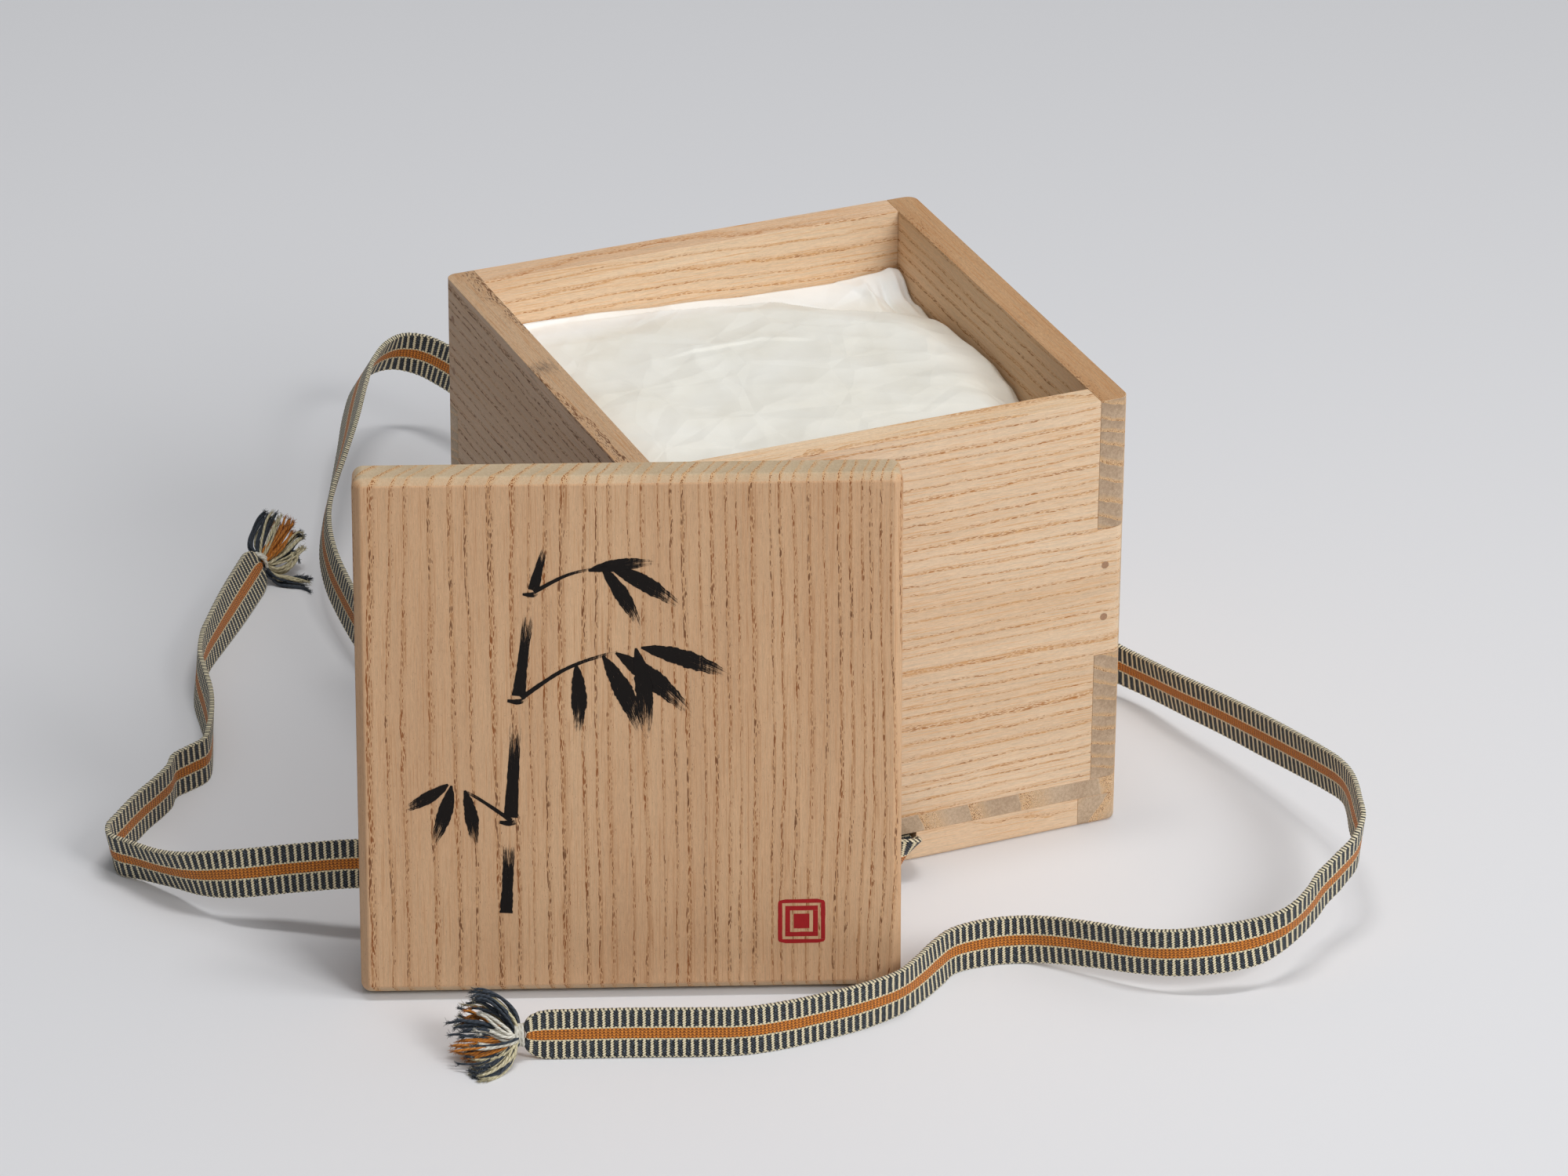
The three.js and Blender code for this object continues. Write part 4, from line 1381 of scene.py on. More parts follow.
@dataclass(frozen=True)
class Route:
    """Points that a ribbon follows, in millimetres from the box's middle.

    Each holds the middle's X, Y and Z, then the direction of the ribbon's upper edge.
    """

    points: tuple[tuple[float, ...], ...]

    def stations(self, sizes: BoxSizes, step: float) -> list[Station]:
        """Even places along a smooth curve through the points.

        Args:
            sizes: What gives the box's place.
            step: About how far apart the places are.

        Returns:
            The places, from the first point to the last.
        """
        middles = [sizes.at(p[0] * MM, p[1] * MM, p[2] * MM) for p in self.points]
        edges = [Vector(p[3:6]).normalized() for p in self.points]
        fine = self._fine(middles, edges)
        runs = [0.0]
        for (a, _), (b, _) in zip(fine, fine[1:]):
            runs.append(runs[-1] + (b - a).length)
        count = max(2, round(runs[-1] / step))
        placed, index = [], 0
        for number in range(count + 1):
            run = runs[-1] * number / count
            while index < len(runs) - 2 and runs[index + 1] < run:
                index += 1
            share = (run - runs[index]) / max(runs[index + 1] - runs[index], 1e-9)
            at = fine[index][0].lerp(fine[index + 1][0], share)
            placed.append((at, fine[index][1].lerp(fine[index + 1][1], share), run))
        found = []
        for number, (at, edge, run) in enumerate(placed):
            before, after = beside(placed, number)
            along = (after[0] - before[0]).normalized()
            edge = (edge - along * edge.dot(along)).normalized()
            found.append(Station(at, along, edge, run))
        return found

    @staticmethod
    def _fine(middles: list[Vector], edges: list[Vector], parts: int = 24) -> list[tuple[Vector, Vector]]:
        """Points close together on a centripetal curve through the middles.

        Args:
            middles: The points that it goes through.
            edges: The way to the ribbon's upper edge at each.
            parts: How many steps there are between two of them.

        Returns:
            The points, each with its own way to the upper edge.
        """
        row = [middles[0] * 2 - middles[1], *middles, middles[-1] * 2 - middles[-2]]
        rims = [edges[0], *edges, edges[-1]]
        fine = []
        for index in range(1, len(row) - 2):
            p0, p1, p2, p3 = row[index - 1 : index + 3]
            d0, d1, d2 = (math.sqrt((b - a).length) for a, b in ((p0, p1), (p1, p2), (p2, p3)))
            t1 = (p1 - p0) / d0 - (p2 - p0) / (d0 + d1) + (p2 - p1) / d1
            t2 = (p2 - p1) / d1 - (p3 - p1) / (d1 + d2) + (p3 - p2) / d2
            e0, e1, e2, e3 = rims[index - 1 : index + 3]
            for part in range(parts + (index == len(row) - 3)):
                s = part / parts
                h = (2 * s**3 - 3 * s**2 + 1, s**3 - 2 * s**2 + s, 3 * s**2 - 2 * s**3, s**3 - s**2)
                at = p1 * h[0] + t1 * (d1 * h[1]) + p2 * h[2] + t2 * (d1 * h[3])
                edge = e1 * h[0] + (e2 - e0) * 0.5 * h[1] + e2 * h[2] + (e3 - e1) * 0.5 * h[3]
                fine.append((at, edge.normalized()))
        return fine


FRONT_END = Route((
    (3.5, -82.8, 7.1, 1, 0, 0), (3.9, -85.2, 7.1, 0.97, 0.08, 0.2), (4.3, -87.8, 7.2, 0.88, 0.15, 0.45),
    (3.9, -90.6, 7.4, 0.74, 0.2, 0.64), (1.6, -93, 7.6, 0.6, 0.22, 0.77),
    (-2.6, -94.6, 8, 0.42, 0.25, 0.87), (-9, -95.2, 8.8, 0.24, 0.28, 0.93),
    (-17, -95.4, 9.7, 0.12, 0.3, 0.95), (-35, -96.5, 12, 0.05, 0.3, 0.95),
    (-58, -96, 15, 0.05, 0.3, 0.95), (-80, -93, 18, 0.08, 0.32, 0.95),
    (-102, -86, 20.5, 0.12, 0.35, 0.93), (-125, -76.5, 22.5, 0.15, 0.4, 0.9),
    (-147, -66, 24, 0.18, 0.43, 0.88), (-165.7, -56.8, 23.7, 0.19, 0.45, 0.87),
    (-181.8, -46.2, 20.1, 0.19, 0.42, 0.88), (-198.6, -36.2, 16.5, 0.1, 0.28, 0.95),
    (-209, -25, 12.9, -0.25, 0.12, 0.95), (-214.5, -15, 10.6, -0.36, 0, 0.93),
    (-220.5, -3, 8.7, -0.3, 0.02, 0.95), (-224.8, 4.5, 7.9, -0.2, 0, 0.98),
    (-223.4, 11.8, 7.5, -0.2, -0.1, 0.98), (-217.3, 18.8, 7.6, -0.28, -0.2, 0.94),
    (-207.8, 28.6, 7.5, -0.24, -0.18, 0.95), (-199.8, 35.5, 7.6, -0.1, -0.06, 0.99),
    (-195, 40.4, 7.6, 0, 0.03, 1), (-191.3, 46.2, 7.6, 0.03, 0.06, 1), (-185.2, 49.4, 7.6, 0.03, 0.1, 1),
    (-178.6, 53, 7.6, -0.02, 0.05, 1), (-173.4, 63, 7.6, -0.02, -0.06, 1),
    (-169.2, 75.2, 7.6, 0.12, 0, 0.99), (-166.3, 87.5, 7.5, 0.2, -0.06, 0.97),
    (-163.8, 100.5, 7.6, 0.17, -0.16, 0.97), (-160.5, 112, 7.7, 0.01, -0.22, 0.97),
    (-154.4, 123.6, 7.7, -0.24, -0.26, 0.94), (-145.2, 137.2, 7.5, -0.42, -0.27, 0.86),
    (-134, 153.1, 7.2, -0.54, -0.2, 0.82), (-122.4, 169.3, 7.1, -0.6, -0.22, 0.77),
    (-116.6, 177.3, 7.1, -0.6, -0.22, 0.77),
))

LOOP = Route((
    (0, 82.8, 7.1, 1, 0, 0), (0, 87.6, 7.4, 0.95, 0, 0.3), (1.5, 96, 8.6, 0.8, 0, 0.6),
    (2, 108, 10.5, 0.55, 0, 0.83), (1.5, 125, 13.2, 0.35, 0.02, 0.93), (-0.5, 150, 17.3, 0.2, 0.04, 0.97),
    (-4, 180, 21.5, 0.18, 0.05, 0.97), (-8.5, 210, 25.2, 0.2, 0.06, 0.97),
    (-13.5, 237, 27.6, 0.24, 0.07, 0.96), (-18.8, 256, 29.4, 0.27, 0.06, 0.96),
    (-24.6, 265.4, 30.9, 0.26, -0.1, 0.95), (-32, 268.6, 32, 0.24, -0.25, 0.93),
    (-40, 265.6, 32.5, 0.34, -0.3, 0.88), (-49.7, 255, 32.1, 0.46, -0.22, 0.86),
    (-58.6, 239.4, 30.9, 0.48, -0.2, 0.86), (-69, 218.4, 29, 0.43, -0.14, 0.89),
    (-80.6, 196.5, 26.3, 0.34, -0.06, 0.94), (-90.3, 179.2, 23.5, 0.24, -0.02, 0.97),
    (-97.6, 162.6, 20.7, 0.2, -0.02, 0.98), (-102, 145, 18.4, 0.19, -0.05, 0.98),
    (-104, 127, 16.4, 0.18, -0.1, 0.97), (-105.3, 104, 14.3, 0.15, -0.08, 0.98),
    (-106, 80, 12.3, 0.1, -0.05, 0.99), (-106.2, 55, 10.6, 0.03, -0.05, 0.99),
    (-105.6, 32, 9.4, -0.03, -0.1, 0.99), (-103.2, 15, 8.8, -0.12, -0.3, 0.94),
    (-97, 3.6, 8.5, -0.32, -0.7, 0.64), (-88.4, 0, 8.6, -0.12, -0.95, 0.28), (-82.8, 0, 8.7, 0, -1, 0),
))

SIDE_END = Route((
    (82.8, 0, 8.7, 0, 1, 0), (88.4, 0.4, 8.7, 0, 0.95, 0.3), (97, 1.8, 10, -0.1, 0.75, 0.65),
    (106.5, 1.5, 12.6, -0.16, 0.4, 0.9), (112.5, -2, 13.4, -0.19, 0.2, 0.96),
    (116.8, -8, 13.2, -0.19, 0.13, 0.97), (119.6, -14, 12.9, -0.19, 0.11, 0.98),
    (122.2, -22, 13.2, -0.19, 0.11, 0.98), (125.6, -40.4, 15.3, -0.18, 0.15, 0.97),
    (130.2, -60, 17.1, -0.15, 0.22, 0.96), (133.8, -79.6, 19.1, -0.1, 0.28, 0.95),
    (136.4, -99, 21.6, -0.1, 0.26, 0.96), (137.8, -116.6, 24.3, -0.11, 0.18, 0.98),
    (137.9, -129.2, 26.2, -0.11, 0.02, 0.99), (135.6, -139.6, 27.3, -0.06, -0.24, 0.97),
    (130.9, -152.7, 27.6, -0.05, -0.4, 0.91), (126.8, -163.6, 27.1, -0.12, -0.44, 0.88),
    (121, -171.4, 25.6, -0.32, -0.4, 0.85), (112.6, -177, 23.5, -0.4, -0.33, 0.85),
    (104.6, -181.6, 21.5, -0.38, -0.31, 0.87), (98, -186.7, 19.8, -0.33, -0.3, 0.9),
    (91.4, -190.8, 18.4, -0.26, -0.24, 0.93), (85, -193, 17, -0.2, -0.12, 0.97),
    (76, -193.6, 15.5, 0, 0.15, 0.98), (64.4, -191.6, 14.4, 0.08, 0.25, 0.96),
    (52.4, -187.8, 13.7, 0.02, 0.12, 0.99), (42.2, -180.9, 12.9, -0.02, 0.03, 1),
    (33.5, -171, 11.5, 0, 0.05, 1), (25.1, -160.9, 9.6, 0.03, 0.1, 0.99),
    (17, -153.4, 7.9, 0.05, 0.14, 0.99), (5.5, -150.2, 7.6, 0.05, 0.14, 0.99),
    (-6.2, -151, 7.6, -0.03, 0.08, 1), (-13.4, -155.6, 7.6, -0.12, 0.1, 0.98),
    (-22.6, -162.4, 7.6, -0.15, 0.02, 0.98), (-31.6, -167.6, 7.6, -0.07, -0.02, 1),
    (-45, -170.8, 7.6, 0.02, 0.06, 1), (-58.6, -171.8, 7.6, 0.03, 0.08, 1),
    (-71.5, -171.9, 7.6, 0.05, 0.12, 0.99), (-84, -170.4, 7.6, 0.06, 0.14, 0.99),
    (-95.4, -166.4, 7.6, 0.09, 0.2, 0.98), (-116.8, -157.9, 7.6, 0.1, 0.22, 0.97),
    (-145.4, -147.5, 7.6, 0.08, 0.2, 0.98),
))

UNDER_FRONT_BACK = Route(((3.5, -82.2, 7.1, 1, 0, 0), (0, 82.2, 7.1, 1, 0, 0)))
UNDER_LEFT_RIGHT = Route(((-82.2, 0, 8.7, 0, -1, 0), (82.2, 0, 8.7, 0, -1, 0)))


YARN_KEYS = {"n": "navy", "c": "cream", "o": "ochre", "w": "white"}


@dataclass(frozen=True)
class Lock:
    """A lock of yarns in a tassel.

    yarns has one letter for each yarn, spread is how far they stray from the lock's line, and
    points are that line, both in millimetres, the line from the box's middle.
    """

    yarns: str
    spread: float
    points: tuple[Point, ...]


@dataclass
class Ribbon:
    """The flat woven ribbon: its free stretches, the runs under the base, ties and tassels.

    A gathered end narrows to neck over the length gather, and bunch_fold is how high its folds
    stand there. The selvedge's loops stand out by selvedge, once in each bar at loop_share of it.
    A tie is wound tie_turns times on an oval of tie_halves, from tie_span's start over its length.
    """

    sizes: BoxSizes
    weave: WeaveFinish = WeaveFinish()
    width: float = 0.015
    thickness: float = 0.0016
    step: float = 0.00055
    gather: float = 0.0085
    neck: float = 0.0056
    bunch_fold: float = 0.0011
    bunch_pull: float = 0.0016
    selvedge: float = 0.00014
    loop_share: float = 0.79
    path_stride: int = 8
    tie_turns: float = 3.0
    tie_halves: tuple[float, float] = (0.0031, 0.0023)
    tie_span: tuple[float, float] = (0.0006, 0.0026)
    tie_radius: float = 0.0006
    yarn: float = 0.0008
    thread_stoutness: float = 1.35
    fibres: int = 22
    fibre_reach: tuple[float, float] = (0.0006, 0.0015)
    fibre_radius: tuple[float, float] = (0.00004, 0.00007)
    fibre_lowest: float = 0.0002
    across_shares: tuple[float, ...] = (
        -1.0, -0.97, -0.86, -0.62, -0.36, -0.12, 0.12, 0.36, 0.62, 0.86, 0.97, 1.0,
    )

    def build(self) -> None:
        """Builds every stretch, tie and tassel, and logs how long each free stretch is."""
        material = self.weave.make()
        yarns = {
            "navy": YarnFinish("navy_yarn", srgb(20, 26, 34), srgb(60, 70, 82)).make(),
            "cream": YarnFinish("cream_yarn", srgb(150, 138, 100), srgb(226, 217, 184)).make(),
            "ochre": YarnFinish("ochre_yarn", srgb(140, 76, 16), srgb(214, 136, 44)).make(),
            "white": YarnFinish("tie_thread", srgb(176, 170, 152), srgb(240, 237, 226)).make(),
        }
        front = self._stretch("ribbon_front_end", FRONT_END, material, True)
        side = self._stretch("ribbon_side_end", SIDE_END, material, True)
        loop = self._stretch("ribbon_loop", LOOP, material, False)
        self._stretch("ribbon_under_front_back", UNDER_FRONT_BACK, material, False)
        self._stretch("ribbon_under_left_right", UNDER_LEFT_RIGHT, material, False)
        for name, made, locks, seed in (("front", front, FRONT_LOCKS, 11), ("side", side, SIDE_LOCKS, 23)):
            last = made[1][-1]
            tie = self._tie(name, last, yarns["white"])
            self._declare(made, [tie, *self._tassel(name, last, yarns, locks, seed)])
        self._declare(loop, [])

    def _declare(
        self, made: tuple[Piece, list[Station]], pieces: list[Piece]
    ) -> None:
        """Logs how long a stretch really is.

        Args:
            made: The stretch and its places.
            pieces: What is on it, which is not used.
        """
        piece, stations = made
        path = [tuple(s.at) for s in stations[::self.path_stride]]
        if (stations[-1].at - Vector(path[-1])).length > SAME_PLACE:
            path.append(tuple(stations[-1].at))
        tuple(stations[0].at)
        log.info("%s is %.0f mm long", piece.name, stations[-1].run / MM)

    def _half_width(self, left: float) -> float:
        """Half the ribbon's width at a place.

        Args:
            left: How far the place is from the gathered end.

        Returns:
            The half width.
        """
        full = self.width / 2
        if left >= self.gather:
            return full
        share = 1.0 - left / self.gather
        return self.neck / 2 + (full - self.neck / 2) * math.sqrt(max(0.0, 1.0 - share**2.6))

    def _section(self, station: Station, left: float, ring: Sequence[tuple[float, int]]) -> list[Vector]:
        """One closed ring of points round the ribbon.

        Args:
            station: The place on the ribbon.
            left: How far the place is from the gathered end.
            ring: Each point's share across the ribbon, and its face as 1 or -1.

        Returns:
            The points.
        """
        out = station.along.cross(station.edge).normalized()
        half = self._half_width(left)
        bunch = 1.0 - half / (self.width / 2)
        scallop = 0.5 + 0.5 * math.cos(math.tau * (station.run / (self.weave.bar_mm * MM) - self.loop_share))
        points = []
        for v, face in ring:
            flat = (1.0 - abs(v) ** 8) ** 0.5 if abs(v) < 1 else 0.0
            thick = self.thickness / 2 * (0.86 + 0.14 * flat) * (1.0 + 0.08 * scallop)
            thick += max(bunch * self.bunch_fold * (math.cos(v * 9.0) * 0.5 + (1.0 - v * v) * 0.9), 0.0)
            reach = half * v + (self.selvedge * scallop * v if abs(v) > 0.95 else 0.0)
            pull = bunch * self.bunch_pull * v * v
            points.append(station.at + station.edge * reach + out * (thick * face) + station.along * pull)
        return points

    def _stretch(
        self, node: str, route: Route, material: Material, gathered: bool
    ) -> tuple[Piece, list[Station]]:
        """One stretch of ribbon, as a closed band with looped selvedges.

        Args:
            node: The CAD node that it stands for.
            route: What it follows.
            material: Its finish.
            gathered: Whether its far end is drawn together under a tie.

        Returns:
            The piece and the places along it.
        """
        stations = route.stations(self.sizes, self.step)
        total = stations[-1].run
        ring = [(v, 1) for v in self.across_shares] + [(v, -1) for v in reversed(self.across_shares)]
        points, plane = [], []
        for station in stations:
            points += self._section(station, total - station.run if gathered else total, ring)
            plane += [(station.run / MM, v * self.width / 2 / MM) for v, _ in ring]
        rows, count = len(stations), len(ring)
        faces = net(rows, count)
        for row, flip in ((0, False), (rows - 1, True)):
            for index in range(count // 2 - 1):
                a, d = row * count + index, row * count + count - 1 - index
                faces.append([a, a + 1, d - 1, d] if flip else [d, d - 1, a + 1, a])
        piece = Bench.mesh(node + "_woven", points, faces, plane)
        dress(piece, "box", material, [node])
        return piece, stations

    def _tie(self, name: str, last: Station, material: Material) -> Piece:
        """White thread wound round the gathered end.

        Args:
            name: Which end it is.
            last: The stretch's last place.
            material: The thread's finish.

        Returns:
            The piece.
        """
        steps = 110
        half_high, half_thick = self.tie_halves
        start, length = self.tie_span
        out = last.along.cross(last.edge).normalized()
        line = []
        for number in range(steps + 1):
            share = number / steps
            angle = math.tau * self.tie_turns * share
            jitter = 0.00012 * math.sin(angle * 0.37 + 1.3)
            up, side = (half_high + jitter) * math.cos(angle), (half_thick + jitter) * math.sin(angle)
            line.append(last.at + last.along * (start + length * share) + (last.edge * up + out * side))
        return self._yarns(
            f"tie_{name}_thread", [(line, self.tie_radius)], material, "tie_thread", [f"tie_{name}"], 8
        )

    def _tassel(
        self, name: str, last: Station, yarns: dict[str, Material], locks: Sequence[Lock], seed: int
    ) -> list[Piece]:
        """Locks of loose yarn that burst out of the tie, bow round and fray at their ends.

        Args:
            name: Which end it is.
            last: The stretch's last place, under the tie.
            yarns: The yarns' finishes by colour.
            locks: The locks.
            seed: What makes the tassel its own.

        Returns:
            One piece for each colour.
        """
        chance = random.Random(seed)
        groups: dict[str, list[Yarn]] = {}
        for lock in locks:
            guide = [tuple(last.at + last.along * 0.002)]
            guide += [tuple(self.sizes.at(*(value * MM for value in point))) for point in lock.points]
            line = [Vector(spot) for spot in smooth_line(guide, 5)]
            for key in lock.yarns:
                stout = self.thread_stoutness if key == "w" else 1.0
                thick = self.yarn / 2 * chance.uniform(0.85, 1.15) * stout
                yarn = self._strand(line, lock.spread * MM, thick, chance)
                group = groups.setdefault(YARN_KEYS[key], [])
                group.append((yarn, thick))
                group += self._fray(yarn, thick, chance)
        pieces = []
        for colour, lines in groups.items():
            nodes = [] if pieces else [f"tassel_{name}"]
            piece_name = f"tassel_{name}_{colour}"
            pieces.append(self._yarns(piece_name, lines, yarns[colour], "tassel_yarn", nodes, 6))
        return pieces

    @staticmethod
    def _strand(line: list[Vector], spread: float, thick: float, chance: random.Random) -> list[Vector]:
        """One yarn beside its lock's line, with a sway of its own.

        Args:
            line: The lock's line.
            spread: How far from it the yarn may stray.
            thick: The yarn's radius, which keeps it off the surface.
            chance: What varies it.

        Returns:
            The yarn's points.
        """
        stray = Vector([chance.gauss(0, 0.55) for _ in range(3)]) * spread
        sway = Vector([chance.gauss(0, 0.25) for _ in range(3)]) * spread
        beat, start = chance.uniform(0.6, 1.5), chance.uniform(0, math.tau)
        count = len(line) - 1
        keep = max(4, round(count * chance.uniform(0.8, 0.97)))
        yarn = []
        for number in range(keep + 1):
            share = number / count
            open_share = 0.3 + 0.9 * min(1.0, share * 2.2) ** 1.2
            swing = math.sin(start + share * math.tau * beat) - math.sin(start)
            spot = line[number] + stray * open_share + sway * swing
            spot.z = max(spot.z, thick * 1.02)
            yarn.append(spot)
        return yarn

    def _fray(self, line: list[Vector], thick: float, chance: random.Random) -> list[Yarn]:
        """Fine fibres that make a soft brush of a yarn's cut end.

        Args:
            line: The yarn's points.
            thick: Its radius.
            chance: What varies them.

        Returns:
            Each fibre's points and radius.
        """
        fibres = []
        ahead = (line[-1] - line[-3]).normalized()
        for _ in range(self.fibres):
            way = (ahead + Vector([chance.gauss(0, 0.36) for _ in range(3)])).normalized()
            first = line[-1].lerp(line[-2], chance.uniform(0.0, 0.8))
            first += Vector([chance.uniform(-0.8, 0.8) * thick for _ in range(3)])
            reach = chance.uniform(*self.fibre_reach)
            bend = Vector([chance.gauss(0, 0.3) for _ in range(3)])
            fibre = [first + (way * share + bend * (share * share)) * reach for share in (0.0, 0.5, 1.0)]
            for spot in fibre:
                spot.z = max(spot.z, self.fibre_lowest)
            fibres.append((fibre, chance.uniform(*self.fibre_radius)))
        return fibres

    @staticmethod
    def _yarns(
        name: str, lines: Sequence[Yarn], material: Material, slot: str, nodes: Sequence[str], sides: int
    ) -> Piece:
        """Thin closed tubes along lines, as one piece.

        Args:
            name: The piece's name.
            lines: Each yarn's points and its radius.
            material: Its finish.
            slot: The name of a slot for its finish, which is not used.
            nodes: The CAD nodes that it replaces.
            sides: How many sides each tube has.

        Returns:
            The piece.
        """
        tail_share = 0.72
        points, faces, plane = [], [], []
        for line, radius in lines:
            first, final = len(points), len(line) - 1
            run, normal = 0.0, None
            for number, spot in enumerate(line):
                before, after = beside(line, number)
                along = (after - before).normalized()
                if normal is None:
                    normal = along.orthogonal().normalized()
                normal = (normal - along * normal.dot(along)).normalized()
                binormal = along.cross(normal)
                if number:
                    run += (spot - line[number - 1]).length
                reach = radius * (tail_share if number in (0, final) else 1.0)
                for index in range(sides):
                    angle = math.tau * index / sides
                    points.append(spot + (normal * math.cos(angle) + binormal * math.sin(angle)) * reach)
                    plane.append((run / MM, index / sides))
            faces += net(len(line), sides, first)
            faces.append([first + index for index in reversed(range(sides))])
            faces.append([first + final * sides + index for index in range(sides)])
        piece = Bench.mesh(name, points, faces, plane)
        dress(piece, "box", material, nodes)
        return piece


FRONT_LOCKS = (
    Lock("nnncnnc", 1.3, ((-114.9, 181.4, 8.5), (-115.8, 184.9, 10.5), (-114.2, 188.5, 13),
        (-110.5, 191.4, 16.2), (-106.6, 192.2, 18.8))),
    Lock("nncnnnc", 1.3, ((-114.8, 181.2, 8.8), (-113.5, 184, 11), (-111, 187, 13.6),
        (-108.5, 189.1, 16.4), (-105.7, 190.8, 18.8))),
    Lock("ccccn", 1, ((-113.9, 180.4, 8.8), (-111.6, 182.1, 11), (-108.7, 184.6, 13.8),
        (-106.4, 187.1, 16.4), (-104.4, 189.1, 18.6))),
    Lock("ooooooooo", 1.7, ((-113.4, 179.9, 8.4), (-111.3, 181, 10.5), (-108.3, 183.3, 12.8),
        (-105.8, 186.1, 15), (-104.3, 187.5, 16.8))),
    Lock("oooooooooo", 1.7, ((-113, 179.6, 8), (-110.1, 181.1, 10.2), (-106.6, 183.5, 12.4),
        (-103.5, 185.9, 14.4), (-101.5, 186.9, 15.8))),
    Lock("ooooooo", 1.6, ((-113, 178.4, 7.8), (-109.9, 179.6, 9.4), (-106, 182, 11),
        (-102.6, 184, 12.4), (-100.5, 185.3, 13.6))),
    Lock("nncnn", 1.2, ((-113, 177.8, 7.6), (-109.4, 179, 8.8), (-105.1, 181.3, 10.4),
        (-101.5, 183.3, 12), (-98.6, 183.4, 12.4))),
    Lock("cccnc", 1, ((-112.9, 177, 7.2), (-109, 178.4, 8), (-104.5, 180.4, 9.2), (-100.7, 182.8, 10.6),
        (-98.3, 184.1, 11))),
    Lock("cccc", 0.9, ((-112.8, 176.9, 7), (-108.8, 177, 7.4), (-104.6, 178.2, 8), (-100.8, 180.7, 8.6),
        (-98.7, 182, 8.8))),
    Lock("nnn", 0.5, ((-112.9, 177.2, 6.6), (-109.2, 178.4, 6.8), (-105.4, 179.9, 7.6),
        (-102.8, 179.9, 7.6), (-101.9, 178, 4.6))),
    Lock("nn", 0.5, ((-112.9, 177.1, 6.4), (-109.3, 178.2, 6.4), (-106.2, 178.9, 7), (-104.4, 178.8, 6.2))),
    Lock("cccc", 0.7, ((-113.1, 176.5, 6), (-110.3, 175.5, 4.4), (-107.2, 174.9, 4.6), (-104.4, 176, 6),
        (-102.9, 177.7, 7.4), (-103, 179.8, 8.2))),
    Lock("ccc", 0.5, ((-113, 176.8, 6.2), (-111, 176.2, 5.2), (-108.5, 175.8, 5.4), (-106.1, 176.7, 6),
        (-104.2, 178, 7))),
    Lock("nnnnnnnn", 1.2, ((-114.1, 176.7, 4.6), (-112, 174.9, 2), (-108.7, 173.8, 1.4),
        (-104.4, 173.7, 1.6), (-100.5, 172.9, 1.2))),
    Lock("cccc", 0.7, ((-113.7, 176.7, 5), (-111.6, 174.8, 3), (-108, 172.9, 2.2), (-104.3, 171.5, 1.2),
        (-100.8, 168.8, 0.7))),
    Lock("nnnnn", 0.7, ((-114.1, 176.9, 4), (-112.1, 173.5, 1.2), (-108.8, 170.9, 0.8),
        (-105, 168.2, 0.6), (-102.4, 163.1, 0.5))),
)

